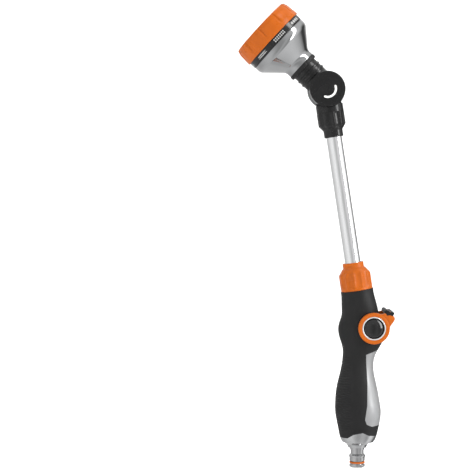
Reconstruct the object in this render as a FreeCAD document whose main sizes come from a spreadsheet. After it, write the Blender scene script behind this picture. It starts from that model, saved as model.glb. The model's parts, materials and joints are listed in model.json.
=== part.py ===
import FreeCAD, Part
import math
import os
import Sketcher

# A watering wand in millimetres.  The origin is on the hose plug's axis, where its sealing land
# begins.  +Z runs up the handle, the tube and the head lean towards -X, and the thumb lever is on +X.
# The handle, the tube, the elbow and the head each have a frame of their own, worked out in frames().

SIZES = {
    "hose plug": {
        "plug_radius": 7.95,
        "plug_tip": 1.2,
        "plug_land": 8.8,
        "groove_start": 1.8,
        "groove_width": 3.6,
        "groove_depth": 1.7,
        "plug_ring_proud": 0.15,
        "ridge_radius": 8.45,
        "ridge_start": 10.1,
        "ridge_width": 1.0,
        "neck_radius": 6.8,
        "neck_start": 12.6,
        "neck_end": 17.0,
        "spigot_radius": 7.4,
        "spigot_end": 36.0,
        "plug_bore": 4.5,
        "gasket_thickness": 2.0,
        "strainer_radius": 5.6,
        "strainer_depth": 3.0,
        "strainer_thickness": 1.0,
        "strainer_hole": 0.7,
    },
    "handle": {
        "foot_height": 19.2,
        "foot_radius": 9.3,
        "foot_shoulder": 10.9,
        "form_start": 25.0,
        "valve_height": 143.7,
        "valve_offset": 15.7,
        "handle_height": 181.8,
        "skin": 2.6,
        "cap_edge": 29.8,
        "cap_crown": 6.2,
        "panel_low": 42.2,
        "panel_high": 116.2,
        "panel_inset": 9.2,
        "duct_radius": 4.0,
    },
    "valve": {
        "housing_radius": 14.8,
        "housing_half": 17.2,
        "rotor_radius": 9.0,
        "running_gap": 0.04,
        "side_gap": 0.3,
        "seal_place": 12.0,
        "seal_section": 0.72,
        "drive_square": 8.9,
        "web_thickness": 1.9,
        "ring_thickness": 4.1,
        "ring_radius": 16.1,
        "trim_radius": 12.0,
        "trim_width": 1.35,
        "trim_height": 2.9,
        "dome_height": 4.6,
        "dome_wall": 1.2,
        "bar_gap": 2.8,
        "bar_thickness": 1.2,
        "bar_start": 22.0,
        "bar_sweep": 32.0,
        "bar_inset": 2.0,
        "lever_screw": 1.6,
        "lever_screw_head": 3.6,
        "lever_screw_grip": 8.0,
    },
    "tube and nuts": {
        "lean": 8.65,
        "tube_offset": -0.6,
        "tube_radius": 8.0,
        "tube_wall": 1.0,
        "tube_insert": 2.0,
        "pivot_reach": 208.8,
        "tube_top_drop": 24.8,
        "slip": 0.05,
        "seal_ring": 1.3,
        "nut_gap": 0.1,
        "neck_thread": 13.2,
        "neck_height": 15.0,
        "handle_nut_radius": 16.3,
        "handle_nut_body": 16.7,
        "handle_nut_cone": 22.7,
        "handle_nut_height": 28.7,
        "handle_nut_sleeve": 10.8,
        "handle_nut_flutes": 12,
        "elbow_nut_base_drop": 49.6,
        "elbow_nut_cone_drop": 42.2,
        "elbow_nut_body_drop": 37.1,
        "elbow_nut_top_drop": 23.6,
        "elbow_nut_radius": 14.1,
        "elbow_nut_sleeve": 9.9,
        "elbow_nut_flutes": 10,
        "elbow_thread": 12.2,
        "elbow_thread_start_drop": 35.3,
        "collet_wall": 2.9,
        "collet_height": 6.4,
        "collet_slot": 1.6,
        "flute_radius": 3.6,
        "flute_depth": 0.8,
    },
    "elbow": {
        "nod": 47.0,
        "base_radius": 14.0,
        "base_drop": 16.0,
        "near_radius": 18.35,
        "near_width": 17.0,
        "far_radius": 17.0,
        "far_width": 13.0,
        "cover_radius": 19.5,
        "cover_start": 9.5,
        "cover_end": 17.5,
        "joint_gap": 0.4,
        "spindle_radius": 6.5,
        "spindle_half": 12.5,
        "spindle_bore": 3.9,
        "spindle_port": 6.5,
        "spindle_wall": 3.2,
        "spindle_seal": 0.7,
        "click_inner": 9.5,
        "click_outer": 13.5,
        "click_depth": 2.2,
        "click_teeth": 24,
        "mark_radius": 8.4,
        "mark_width": 2.1,
        "mark_depth": 0.8,
        "mark_start": -155.0,
        "mark_sweep": 127.0,
        "elbow_screw": 2.4,
        "elbow_screw_head": 4.6,
        "washer_thickness": 0.8,
        "arm_radius": 14.2,
        "arm_end": 31.3,
        "arm_rib": 0.5,
        "arm_spigot": 11.0,
        "arm_spigot_end": 40.5,
    },
    "head": {
        "collar_radius": 16.75,
        "bell_start": 35.6,
        "bell_neck": 16.3,
        "bell_cone_start": 42.0,
        "bell_cone_end": 61.5,
        "bell_radius": 34.1,
        "bell_end": 68.2,
        "bell_round": 14.0,
        "bell_wall": 3.2,
        "bulkhead": 6.2,
        "post_radius": 6.5,
        "post_start": 52.0,
        "turn_gap": 0.3,
        "band_radius": 34.4,
        "band_end": 75.1,
        "bezel_radius": 35.9,
        "bezel_end": 93.6,
        "bezel_round": 4.0,
        "bezel_wall": 5.4,
        "bezel_lip": 2.2,
        "bezel_lip_depth": 3.6,
        "bezel_grooves": 10,
        "patterns": 8,
        "port_circle": 18.0,
        "port_radius": 3.0,
        "port_wall": 2.1,
        "dimple_circle": 24.5,
        "dimple_radius": 2.3,
        "plate_thickness": 3.0,
        "spray_thickness": 3.0,
        "rib_thickness": 1.6,
        "head_screw": 2.5,
        "head_screw_head": 5.0,
        "mark_span": 13.0,
        "mark_proud": 0.15,
        "mark_edge": 1.6,
        "spray_hole": 0.6,
        "head_seal_section": 1.05,
    },
}

# The handle's outline: how far up its stretch each section lies (below the valve, then above it),
# its centre's offset, its half width along X and its half depth along Y.
LOWER_SECTIONS = [
    (0.0, 0.7, 16.2, 14.8),
    (0.085, 1.0, 20.0, 17.0),
    (0.193, 1.1, 22.6, 18.3),
    (0.293, 0.6, 23.6, 18.6),
    (0.407, -0.3, 22.2, 17.9),
    (0.55, -0.6, 18.9, 16.2),
    (0.65, -0.1, 16.6, 14.9),
    (0.745, 1.4, 16.6, 14.7),
    (0.86, 4.3, 20.9, 15.3),
    (0.985, 4.5, 24.4, 15.9),
]
UPPER_SECTIONS = [
    (0.17, 3.7, 21.9, 16.0, 0.0),
    (0.44, 2.6, 18.8, 16.2, 0.15),
    (0.67, 1.3, 17.8, 16.6, 0.5),
    (0.85, 0.2, 16.9, 16.6, 0.85),
    (1.0, -0.6, 16.9, 16.6, 1.0),
]

# The lever's side outlines, from the valve's centre, as shares of the bar's inner radius.
LOBE_OUTLINE = [
    (0.42, 0.0), (0.83, 0.05), (0.93, 0.23), (1.08, 0.42), (1.13, 0.53), (1.05, 0.69), (0.95, 0.81),
    (0.92, 0.91), (0.82, 0.92), (0.70, 0.87), (0.43, 0.8),
]
PAD_OUTLINE = [
    (0.69, 0.63), (1.01, 0.69), (1.08, 0.77), (1.085, 0.85), (1.03, 0.895), (0.97, 0.89), (0.89, 0.85),
    (0.8, 0.91), (0.71, 0.99), (0.62, 0.99), (0.555, 0.93), (0.53, 0.825),
]

# Places up the tube that go with the elbow, each given above as a drop below the elbow's pivot.
BELOW_PIVOT = [
    "tube_top", "elbow_nut_base", "elbow_nut_cone", "elbow_nut_body", "elbow_nut_top", "elbow_thread_start",
]

Y_AXIS = "rotation(vector(1; 0; 0); -90)"
UPRIGHT = "rotation(vector(0; 0; 1); 0)"

doc = FreeCAD.newDocument("watering_wand")
sheet = doc.addObject("Spreadsheet::Sheet", "Size")


class Term:
    """A size that carries its value and the sheet formula which gives it."""

    def __init__(self, value, text):
        self.value = float(value)
        self.text = text

    def __add__(self, other):
        other = term(other)
        return Term(self.value + other.value, f"({self.text} + {other.text})")

    def __sub__(self, other):
        other = term(other)
        return Term(self.value - other.value, f"({self.text} - {other.text})")

    def __mul__(self, other):
        other = term(other)
        return Term(self.value * other.value, f"({self.text} * {other.text})")

    def __truediv__(self, other):
        other = term(other)
        return Term(self.value / other.value, f"({self.text} / {other.text})")

    def __neg__(self):
        return term(0) - self

    def __rsub__(self, other):
        return term(other) - self

    __radd__ = __add__
    __rmul__ = __mul__


def term(value):
    """A plain number as a Term; a Term comes back as it is."""
    if isinstance(value, Term):
        return value
    return Term(value, repr(float(value)))


def sine(angle):
    return Term(math.sin(math.radians(angle.value)), f"sin({angle.text})")


def cosine(angle):
    return Term(math.cos(math.radians(angle.value)), f"cos({angle.text})")


class Sizes:
    """Every named size of the sheet, as a Term."""


size = Sizes()


def fill_sheet():
    """Write the sizes into the sheet, one alias to a row, and make a Term of each, then the derived ones."""
    row = 0
    for group, entries in SIZES.items():
        row += 1
        sheet.set(f"A{row}", group)
        for alias, value in entries.items():
            row += 1
            sheet.set(f"A{row}", alias)
            sheet.set(f"B{row}", str(value))
            sheet.setAlias(f"B{row}", alias)
            setattr(size, alias, Term(value, f"Size.{alias}"))
    for place_name in BELOW_PIVOT:
        setattr(size, place_name, size.pivot_reach - getattr(size, f"{place_name}_drop"))
    doc.recompute()


def at(x=0, y=0, z=0, turn=UPRIGHT):
    """The formula of a placement at a point, turned as the rotation formula says."""
    x, y, z = term(x), term(y), term(z)
    return f"placement(vector({x.text}; {y.text}; {z.text}); {turn})"


def about_y(angle):
    return f"rotation(vector(0; 1; 0); {term(angle).text})"


def place(piece, formula):
    if formula is not None:
        piece.setExpression("Placement", formula)
    return piece


def frames():
    """Where the tube's, the elbow base's and the head's own frames lie, as placement formulas."""
    pivot_x = size.tube_offset - size.pivot_reach * sine(size.lean)
    pivot_z = size.handle_height + size.pivot_reach * cosine(size.lean)
    return {
        "tube": at(size.tube_offset, 0, size.handle_height, about_y(-size.lean)),
        "pivot": at(pivot_x, 0, pivot_z, about_y(-size.lean)),
        "head": at(pivot_x, 0, pivot_z, about_y(-size.nod)),
        "valve": at(size.valve_offset, 0, size.valve_height),
    }


def plane(body, role):
    return next(item for item in body.Origin.OriginFeatures if item.Role == role)


def outline(body, name, role, points):
    """A closed sketch of straight edges through points, each point bound to the sheet."""
    sketch = body.newObject("Sketcher::SketchObject", name)
    sketch.AttachmentSupport = (plane(body, role), [""])
    sketch.MapMode = "FlatFace"
    corners = [(term(across), term(up)) for across, up in points]
    count = len(corners)
    for here, after in zip(corners, corners[1:] + corners[:1]):
        start = FreeCAD.Vector(here[0].value, here[1].value, 0)
        end = FreeCAD.Vector(after[0].value, after[1].value, 0)
        sketch.addGeometry(Part.LineSegment(start, end), False)
    for i in range(count):
        sketch.addConstraint(Sketcher.Constraint("Coincident", i, 2, (i + 1) % count, 1))
    for i, corner in enumerate(corners):
        for kind, amount, axis in (("DistanceX", corner[0], -2), ("DistanceY", corner[1], -1)):
            if amount.text == "0.0":
                sketch.addConstraint(Sketcher.Constraint("PointOnObject", i, 1, axis))
                continue
            rule = Sketcher.Constraint(kind, -1, 1, i, 1, amount.value)
            index = sketch.addConstraint(rule)
            sketch.setExpression(f"Constraints[{index}]", amount.text)
    return sketch


def turned(label, points, where=None):
    """A body of revolution about its Z axis, from its half section in radius and height."""
    body = doc.addObject("PartDesign::Body", label)
    sketch = outline(body, f"{label}_section", "XZ_Plane", points)
    spin = body.newObject("PartDesign::Revolution", f"{label}_turn")
    spin.Profile = sketch
    spin.ReferenceAxis = (sketch, ["V_Axis"])
    spin.Angle = 360
    body.Tip = spin
    return place(body, where)


def circle_sketch(body, name, across, up, radius):
    """A circle on the body's XY plane, its place and radius bound to the sheet."""
    sketch = body.newObject("Sketcher::SketchObject", name)
    sketch.AttachmentSupport = (plane(body, "XY_Plane"), [""])
    sketch.MapMode = "FlatFace"
    across, up, radius = term(across), term(up), term(radius)
    centre = FreeCAD.Vector(across.value, up.value, 0)
    sketch.addGeometry(Part.Circle(centre, FreeCAD.Vector(0, 0, 1), radius.value), False)
    rules = [("DistanceX", across, -2), ("DistanceY", up, -1)]
    for kind, amount, axis in rules:
        if amount.text == "0.0":
            sketch.addConstraint(Sketcher.Constraint("PointOnObject", 0, 3, axis))
            continue
        index = sketch.addConstraint(Sketcher.Constraint(kind, -1, 1, 0, 3, amount.value))
        sketch.setExpression(f"Constraints[{index}]", amount.text)
    index = sketch.addConstraint(Sketcher.Constraint("Radius", 0, radius.value))
    sketch.setExpression(f"Constraints[{index}]", radius.text)
    return sketch


def drilled_ring(body, name, circle, radius, count):
    """Cut a round hole or flute right through along Z, repeated evenly round the axis."""
    sketch = circle_sketch(body, f"{name}_circle", circle, 0, radius)
    pocket = body.newObject("PartDesign::Pocket", f"{name}_cut")
    pocket.Profile = sketch
    pocket.Type = "ThroughAll"
    pocket.Midplane = True
    body.Tip = pocket
    doc.recompute()
    ring = body.newObject("PartDesign::PolarPattern", f"{name}_ring")
    ring.Originals = [pocket]
    ring.Axis = (sketch, ["N_Axis"])
    ring.Angle = 360
    ring.setExpression("Occurrences", term(count).text)
    body.Tip = ring
    doc.recompute()
    return body


def rounded(body, name, radius, picks):
    """Fillet the circular edges of the tip that lie at the given radius and height pairs."""
    doc.recompute()
    tip = body.Tip
    found = []
    for number, edge in enumerate(tip.Shape.Edges, 1):
        if not isinstance(edge.Curve, Part.Circle):
            continue
        for across, up in picks:
            near = abs(edge.Curve.Radius - across.value) < 0.01
            if near and abs(edge.Curve.Center.z - up.value) < 0.01:
                found.append(f"Edge{number}")
    if not found:
        raise RuntimeError(f"{name}: no edge to round")
    fillet = body.newObject("PartDesign::Fillet", name)
    fillet.Base = (tip, found)
    fillet.setExpression("Radius", term(radius).text)
    body.Tip = fillet
    return body


def rod(name, radius, length, where=None, angle=None):
    """A plain cylinder, or a sector of one."""
    piece = doc.addObject("Part::Cylinder", name)
    piece.setExpression("Radius", term(radius).text)
    piece.setExpression("Height", term(length).text)
    if angle is not None:
        piece.setExpression("Angle", term(angle).text)
    return place(piece, where)


def cross_rod(name, radius, start, end, x=0, z=0):
    """A cylinder along Y from start to end."""
    return rod(name, radius, term(end) - start, at(x, start, z, Y_AXIS))


def block(name, low, high):
    """A box between two corners."""
    piece = doc.addObject("Part::Box", name)
    for side, near, far in zip(("Length", "Width", "Height"), low, high):
        piece.setExpression(side, (term(far) - near).text)
    return place(piece, at(*low))


def sector(name, inner, outer, start, end, low, high, x=0, z=0):
    """A stretch of a ring about a Y axis, its angles counted from +X towards +Z."""
    turn = f"rotation(vector(0; 1; 0); {(-term(start)).text}) * rotation(vector(1; 0; 0); 90)"
    where = at(x, high, z, turn)
    full = rod(f"{name}_full", outer, term(high) - low, where, term(end) - start)
    hole = cross_rod(f"{name}_hole", inner, term(low) - 1, term(high) + 1, x, z)
    return cut(name, full, [hole])


def joined(name, pieces, where=None):
    piece = doc.addObject("Part::MultiFuse", name)
    piece.Shapes = pieces
    return place(piece, where)


def cut(name, base, tools, where=None):
    """The base with every tool taken away, one after another."""
    for number, tool in enumerate(tools, 1):
        last = number == len(tools)
        piece = doc.addObject("Part::Cut", name if last else f"{name}_step_{number}")
        piece.Base = base
        piece.Tool = tool
        base = piece
    return place(base, where)


def shared(name, first, second, where=None):
    piece = doc.addObject("Part::Common", name)
    piece.Base = first
    piece.Tool = second
    return place(piece, where)


def o_ring(label, centre, section, height, where=None, turn=UPRIGHT):
    """A round seal about the Z axis of its own placement."""
    ring = doc.addObject("Part::Torus", label)
    ring.setExpression("Radius1", term(centre).text)
    ring.setExpression("Radius2", term(section).text)
    return place(ring, where or at(0, 0, height, turn))


def between(name, radius, start, end):
    """A cylinder whose axis runs from one point to another in the XZ or the YZ plane."""
    begin = [term(value) for value in start]
    finish = [term(value) for value in end]
    run = [after - before for before, after in zip(begin, finish)]
    squares = run[0] * run[0] + run[1] * run[1] + run[2] * run[2]
    length = Term(math.sqrt(squares.value), f"sqrt({squares.text})")
    if run[1].value == 0:
        turn = f"rotation(vector(0; 1; 0); atan2({run[0].text}; {run[2].text}))"
    else:
        turn = f"rotation(vector(1; 0; 0); -atan2({run[1].text}; {run[2].text}))"
    return rod(name, radius, length, at(*begin, turn))


def hose_plug():
    """The metal plug: tip, sealing land with its groove, catch ridge, neck and threaded spigot."""
    inner = size.plug_radius - size.groove_depth
    groove_end = size.groove_start + size.groove_width
    ridge_end = size.ridge_start + size.ridge_width
    seat = size.spigot_end - size.strainer_depth
    turned("hose_plug", [
        (size.plug_bore, -size.plug_tip),
        (size.plug_radius - size.plug_tip, -size.plug_tip),
        (size.plug_radius, 0),
        (size.plug_radius, size.groove_start),
        (inner, size.groove_start),
        (inner, groove_end),
        (size.plug_radius, groove_end),
        (size.plug_radius, size.plug_land),
        (size.ridge_radius, size.ridge_start),
        (size.ridge_radius, ridge_end),
        (size.neck_radius, size.neck_start),
        (size.neck_radius, size.neck_end),
        (size.spigot_radius, size.neck_end),
        (size.spigot_radius, size.spigot_end),
        (size.strainer_radius, size.spigot_end),
        (size.strainer_radius, seat),
        (size.plug_bore, seat),
    ])


def plug_seals():
    """The O-ring in the plug's groove, and the flat gasket above its spigot."""
    inner = size.plug_radius - size.groove_depth
    section = (size.groove_depth + size.plug_ring_proud) / 2
    middle = size.groove_start + size.groove_width / 2
    o_ring("plug_o_ring", inner + section, section, middle)
    top = size.spigot_end + size.gasket_thickness
    turned("plug_gasket", [
        (size.plug_bore, size.spigot_end),
        (size.spigot_radius, size.spigot_end),
        (size.spigot_radius, top),
        (size.plug_bore, top),
    ])


def inlet_strainer():
    """A perforated disc in the plug's inner end."""
    seat = size.spigot_end - size.strainer_depth
    body = turned("inlet_strainer", [
        (0, seat),
        (size.strainer_radius, seat),
        (size.strainer_radius, seat + size.strainer_thickness),
        (0, seat + size.strainer_thickness),
    ])
    for ring, share in ((1, 0.36), (2, 0.72)):
        drilled_ring(body, f"strainer_{ring}", size.plug_bore * share, size.strainer_hole, 6 * ring)


def section_place(share, low, high):
    return low + (high - low) * share


def handle_form(name, shrink):
    """The handle's outer skin, or a skin inside it, lofted through upright and leaning ovals."""
    ovals = []
    entries = [(share, x, a, b, 0.0, size.form_start, size.valve_height)
               for share, x, a, b in LOWER_SECTIONS]
    entries += [(share, x, a, b, tilt, size.valve_height, size.handle_height)
                for share, x, a, b, tilt in UPPER_SECTIONS]
    for number, (share, x, a, b, tilt, low, high) in enumerate(entries):
        oval = doc.addObject("Part::Ellipse", f"{name}_oval_{number}")
        oval.setExpression("MajorRadius", (a - term(shrink)).text)
        oval.setExpression("MinorRadius", (b - term(shrink)).text)
        height = section_place(share, low, high)
        ovals.append(place(oval, at(x, 0, height, about_y(-size.lean * tilt))))
    form = doc.addObject("Part::Loft", name)
    form.Sections = ovals
    form.Solid = True
    form.Ruled = False
    return form


def wide_slab(name, points, width, where=None):
    """A prism across the handle, from its outline in X and Z."""
    body = doc.addObject("PartDesign::Body", name)
    sketch = outline(body, f"{name}_outline", "XZ_Plane", points)
    pad = body.newObject("PartDesign::Pad", f"{name}_pad")
    pad.Profile = sketch
    pad.Midplane = True
    pad.setExpression("Length", width.text)
    body.Tip = pad
    return place(body, where)


def cap_region():
    """All that lies under the foot cap's wavy upper edge."""
    side = size.housing_half * 2
    low = size.foot_height - 1
    edge = size.cap_edge
    crown = size.cap_edge + size.cap_crown
    return wide_slab("cap_region", [
        (-side, low), (side, low), (side, edge), (size.foot_shoulder, edge + size.cap_crown / 2),
        (size.foot_radius / 2, crown), (-size.foot_radius / 2, edge + size.cap_crown * 0.7),
        (-size.foot_shoulder, edge + 0.2), (-side, edge),
    ], side * 2)


def panel_region():
    """All that lies on the palm panel's side of its border."""
    side = size.housing_half * 2
    inset = size.panel_inset
    low = size.panel_low
    high = size.panel_high
    return wide_slab("panel_region", [
        (side, low + 2), (inset + 5, low), (inset - 0.5, low + 2.5), (inset - 2.3, low + 7.5),
        (inset, low + 22), (inset + 0.3, low + 45), (inset - 1.1, high - 5), (inset - 1.1, high),
        (side, high + 8.5),
    ], side * 2)


def handle_skin(outer, inner):
    """The grip, the palm panel and the foot cap share one shell, parted along their borders."""
    shell = cut("handle_shell", outer, [inner])
    cap = cap_region()
    panel = panel_region()
    bore = cross_rod("grip_valve_hole", size.housing_radius + size.slip, -size.housing_half,
                     size.housing_half, size.valve_offset, size.valve_height)
    cut("grip_sleeve", shell, [cap, panel, bore])
    shared("palm_panel", cut("panel_shell", shell, [bore]), panel)
    foot = turned("foot_cone", [
        (0, size.foot_height),
        (size.foot_radius, size.foot_height),
        (size.foot_shoulder, size.foot_height + 3.3),
        (size.foot_shoulder + 3.6, size.form_start),
        (0, size.form_start),
    ])
    skirt = shared("cap_skirt", shell, cap)
    hole = rod("cap_hole", size.spigot_radius, size.spigot_end, None)
    cut("end_cap", joined("cap_solid", [skirt, foot]), [hole])


def duct_ends():
    """The points that the water's way through the handle runs between."""
    low = (0, 0, size.spigot_end)
    middle = (size.valve_offset, 0, size.valve_height)
    high = (size.tube_offset, 0, size.handle_height - size.tube_insert * 0.5)
    return low, middle, high


def handle_core(inner, frame):
    """The rigid core: valve boss, threaded neck, water ducts, and the seats of plug, tube and rotor."""
    low, middle, high = duct_ends()
    boss = cross_rod("valve_boss", size.housing_radius, -size.housing_half, size.housing_half,
                     size.valve_offset, size.valve_height)
    neck = rod("core_neck", size.neck_thread, size.neck_height + 6, None)
    neck_top = size.neck_height - 2 * size.seal_ring
    socket = rod("tube_socket", size.tube_radius + size.slip, size.neck_height + 3,
                 at(0, 0, -size.tube_insert))
    seat = rod("seal_seat", size.tube_radius + 2 * size.seal_ring + size.slip,
               size.neck_height, at(0, 0, neck_top))
    place(neck, at(0, 0, -6))
    upper = cut("core_upper", neck, [socket, seat], frame["tube"])
    tube_way = rod("tube_way", size.tube_radius + size.slip, size.neck_height,
                   at(0, 0, -size.tube_insert))
    tube_room = group("tube_room", [tube_way], frame["tube"])
    inlet = rod("inlet_bore", size.spigot_radius, size.spigot_end + size.gasket_thickness, None)
    bore = cross_rod("rotor_bore", size.rotor_radius + size.running_gap, -size.housing_half - 1,
                     size.housing_half + 1, size.valve_offset, size.valve_height)
    lower_duct = between("lower_duct", size.duct_radius, low, middle)
    upper_duct = between("upper_duct", size.duct_radius, middle, high)
    solid = joined("core_solid", [inner, boss])
    lower = cut("core_lower", solid, [inlet, bore, lower_duct, upper_duct, tube_room])
    joined("handle_core", [lower, upper])


def valve_rotor():
    """The cylinder that opens and shuts the duct, with two seal grooves and a square at each end."""
    low, middle, high = duct_ends()
    x, z = size.valve_offset, size.valve_height
    body = cross_rod("rotor_body", size.rotor_radius, -size.housing_half, size.housing_half, x, z)
    half = size.drive_square / 2
    reach = size.housing_half + size.side_gap + size.web_thickness
    drive = block("rotor_drive", (x - half, -reach, z - half), (x + half, reach, z + half))
    tools = [between("rotor_low_port", size.duct_radius, low, middle),
             between("rotor_high_port", size.duct_radius, middle, high)]
    depth = size.rotor_radius - 2 * size.seal_section - 0.02
    for side, sign in (("near", -1), ("far", 1)):
        start = size.seal_place * sign - size.seal_section * 1.2
        end = size.seal_place * sign + size.seal_section * 1.2
        ring = cross_rod(f"groove_{side}_outer", size.rotor_radius + 1, start, end, x, z)
        core = cross_rod(f"groove_{side}_core", depth, start - 1, end + 1, x, z)
        tools.append(cut(f"groove_{side}", ring, [core]))
        ends = sorted((size.lever_screw_grip * sign, (reach + 1) * sign), key=lambda end: end.value)
        tools.append(cross_rod(f"tapped_{side}", size.lever_screw, ends[0], ends[1], x, z))
    cut("valve_rotor", joined("rotor_solid", [body, drive]), tools)


def group(label, pieces, where=None):
    """Pieces kept as separate solids under one name, or one piece moved to a frame."""
    piece = doc.addObject("Part::Compound", label)
    piece.Links = pieces
    return place(piece, where)


def rotor_seals():
    """One O-ring near each end of the rotor."""
    rings = []
    for side, sign in (("near", -1), ("far", 1)):
        where = at(size.valve_offset, size.seal_place * sign, size.valve_height, Y_AXIS)
        centre = size.rotor_radius - size.seal_section - 0.01
        rings.append(o_ring(f"rotor_seal_{side}", centre, size.seal_section, 0, where))
    group("rotor_seals", rings)


def lever_slab(name, shares, half):
    """A prism across the handle, from a side outline given as shares of the bar's inner radius."""
    bar = size.ring_radius + size.bar_gap
    points = [(bar * across, bar * up) for across, up in shares]
    return wide_slab(name, points, half * 2, at(size.valve_offset, 0, size.valve_height))


def lever_yoke():
    """The orange lever: a ringed plate on each side of the handle, joined by a lobe and a thin bar.

    Between the plates the lobe is sunk to hold the pad. Returns the bar and the lobe, which the pad fits.
    """
    x, z = size.valve_offset, size.valve_height
    inside = size.housing_half + size.side_gap
    outside = inside + size.ring_thickness
    plates = []
    recesses = []
    for side, low, high in (("near", -outside, -inside), ("far", inside, outside)):
        plates.append(cross_rod(f"{side}_plate", size.ring_radius, low, high, x, z))
        if side == "near":
            recess = (low - 1, high - size.web_thickness)
        else:
            recess = (low + size.web_thickness, high + 1)
        recesses.append(cross_rod(f"{side}_recess", size.trim_radius, recess[0], recess[1], x, z))
    low = size.ring_radius + size.bar_gap
    high = low + size.bar_thickness
    half = inside + size.bar_inset
    bar = sector("lever_bar", low, high, size.bar_start, size.bar_start + size.bar_sweep, -half, half, x, z)
    core = cross_rod("seat_core", high, -half, half, x, z)
    seat = cut("pad_seat", lever_slab("seat_slab", PAD_OUTLINE, inside), [core])
    middle = cross_rod("lobe_middle", low, -inside, inside, x, z)
    lobe = cut("lever_lobe", lever_slab("lobe_slab", LOBE_OUTLINE, outside), [middle, seat])
    square = size.drive_square / 2
    hole = block("lever_square", (x - square, -outside, z - square), (x + square, outside, z + square))
    cut("lever_yoke", joined("yoke_solid", plates + [bar, lobe]), recesses + [hole])
    return core, lobe


def thumb_pad(core, lobe):
    """The dark pad over the lever's bar, with a raised end for the thumb."""
    outside = size.housing_half + size.side_gap + size.ring_thickness
    cut("thumb_pad", lever_slab("pad_slab", PAD_OUTLINE, outside), [core, lobe])


def hub_trim():
    """The silver rings, the domed black caps and the screws, one of each on both sides."""
    frame = at(size.valve_offset, 0, size.valve_height, Y_AXIS)
    other = at(size.valve_offset, 0, size.valve_height, "rotation(vector(1; 0; 0); 90)")
    seat = size.housing_half + size.side_gap + size.web_thickness
    inner = size.trim_radius - size.trim_width
    edge = seat + size.trim_height
    screws = []
    for side, where in (("far", frame), ("near", other)):
        turned(f"trim_ring_{side}", [
            (inner, seat), (size.trim_radius, seat), (size.trim_radius, edge - 0.5),
            (size.trim_radius - 0.5, edge), (inner, edge),
        ], where)
        top = seat + size.dome_height
        rim = top - 1.7
        turned(f"hub_cap_{side}", [
            (inner, seat), (inner, rim), (inner * 0.8, rim + 0.9), (inner * 0.45, top - 0.2), (0, top),
            (0, top - size.dome_wall), (inner - size.dome_wall, rim - size.dome_wall * 0.5),
            (inner - size.dome_wall, seat),
        ], where)
        head_top = seat + 1.8
        screws.append(turned(f"lever_screw_{side}", [
            (0, size.lever_screw_grip), (size.lever_screw, size.lever_screw_grip),
            (size.lever_screw, seat), (size.lever_screw_head, seat), (size.lever_screw_head, head_top),
            (0, head_top),
        ], where))
    group("lever_screws", screws)


def tube(frame):
    """The aluminium tube, from its seat in the handle to its seat in the elbow."""
    inner = size.tube_radius - size.tube_wall
    turned("tube", [
        (inner, -size.tube_insert), (size.tube_radius, -size.tube_insert),
        (size.tube_radius, size.tube_top), (inner, size.tube_top),
    ], frame["tube"])


def collet(label, base, where, flip):
    """A split, tapered ring round the tube, wide end towards base."""
    wide = size.tube_radius + size.collet_wall
    narrow = size.tube_radius + 1.2
    tip = base - size.collet_height if flip else base + size.collet_height
    ring = turned(f"{label}_ring", [
        (size.tube_radius, base), (wide, base), (wide, base + (tip - base) * 0.3), (narrow, tip),
        (size.tube_radius, tip),
    ])
    half = size.collet_slot / 2
    low, high = (tip, base) if flip else (base, tip)
    slot = block(f"{label}_slot", (0, -half, low - 1), (wide + 1, half, high + 1))
    return cut(label, ring, [slot], where)


def handle_nut(frame):
    """The orange fluted nut that closes on the lower collet."""
    bore = size.neck_thread + size.nut_gap
    seat = size.neck_height
    wide = size.tube_radius + size.collet_wall + size.nut_gap
    narrow = size.tube_radius + 1.2 + size.nut_gap
    tip = seat + size.collet_height
    body = turned("handle_nut", [
        (bore, size.nut_gap), (size.handle_nut_radius, size.nut_gap),
        (size.handle_nut_radius, size.handle_nut_body),
        (size.handle_nut_sleeve + 1.2, size.handle_nut_cone),
        (size.handle_nut_sleeve, size.handle_nut_cone + 0.6),
        (size.handle_nut_sleeve, size.handle_nut_height),
        (size.tube_radius + size.slip * 3, size.handle_nut_height),
        (size.tube_radius + size.slip * 3, tip + 0.4), (narrow, tip + 0.4),
        (wide, seat + size.collet_height * 0.35), (wide, seat), (bore, seat),
    ], frame["tube"])
    circle = size.handle_nut_radius + size.flute_radius - size.flute_depth
    drilled_ring(body, "handle_flute", circle, size.flute_radius, size.handle_nut_flutes)


def elbow_nut(frame):
    """The black fluted nut that closes on the upper collet."""
    bore = size.elbow_thread + size.nut_gap
    seat = size.elbow_thread_start
    wide = size.tube_radius + size.collet_wall + size.nut_gap
    narrow = size.tube_radius + 1.2 + size.nut_gap
    tip = seat - size.collet_height
    sleeve = size.elbow_nut_sleeve
    body = turned("elbow_nut", [
        (size.tube_radius + size.slip * 3, size.elbow_nut_base), (sleeve, size.elbow_nut_base),
        (sleeve, size.elbow_nut_cone), (size.elbow_nut_radius, size.elbow_nut_body),
        (size.elbow_nut_radius, size.elbow_nut_top), (bore, size.elbow_nut_top), (bore, seat),
        (wide, seat), (wide, seat - size.collet_height * 0.35), (narrow, tip - 0.4),
        (size.tube_radius + size.slip * 3, tip - 0.4),
    ], frame["tube"])
    circle = size.elbow_nut_radius + size.flute_radius - size.flute_depth
    drilled_ring(body, "elbow_flute", circle, size.flute_radius, size.elbow_nut_flutes)


def tube_fittings(frame):
    """The seals and the split collets at both ends of the tube."""
    centre = size.tube_radius + size.seal_ring
    low = o_ring("handle_ring", centre, size.seal_ring, size.neck_height - size.seal_ring)
    group("handle_tube_seal", [low], frame["tube"])
    high = o_ring("elbow_ring", centre, size.seal_ring, size.elbow_thread_start + size.seal_ring)
    group("elbow_tube_seal", [high], frame["tube"])
    collet("handle_collet", size.neck_height, frame["tube"], False)
    collet("elbow_collet", size.elbow_thread_start, frame["tube"], True)


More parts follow.
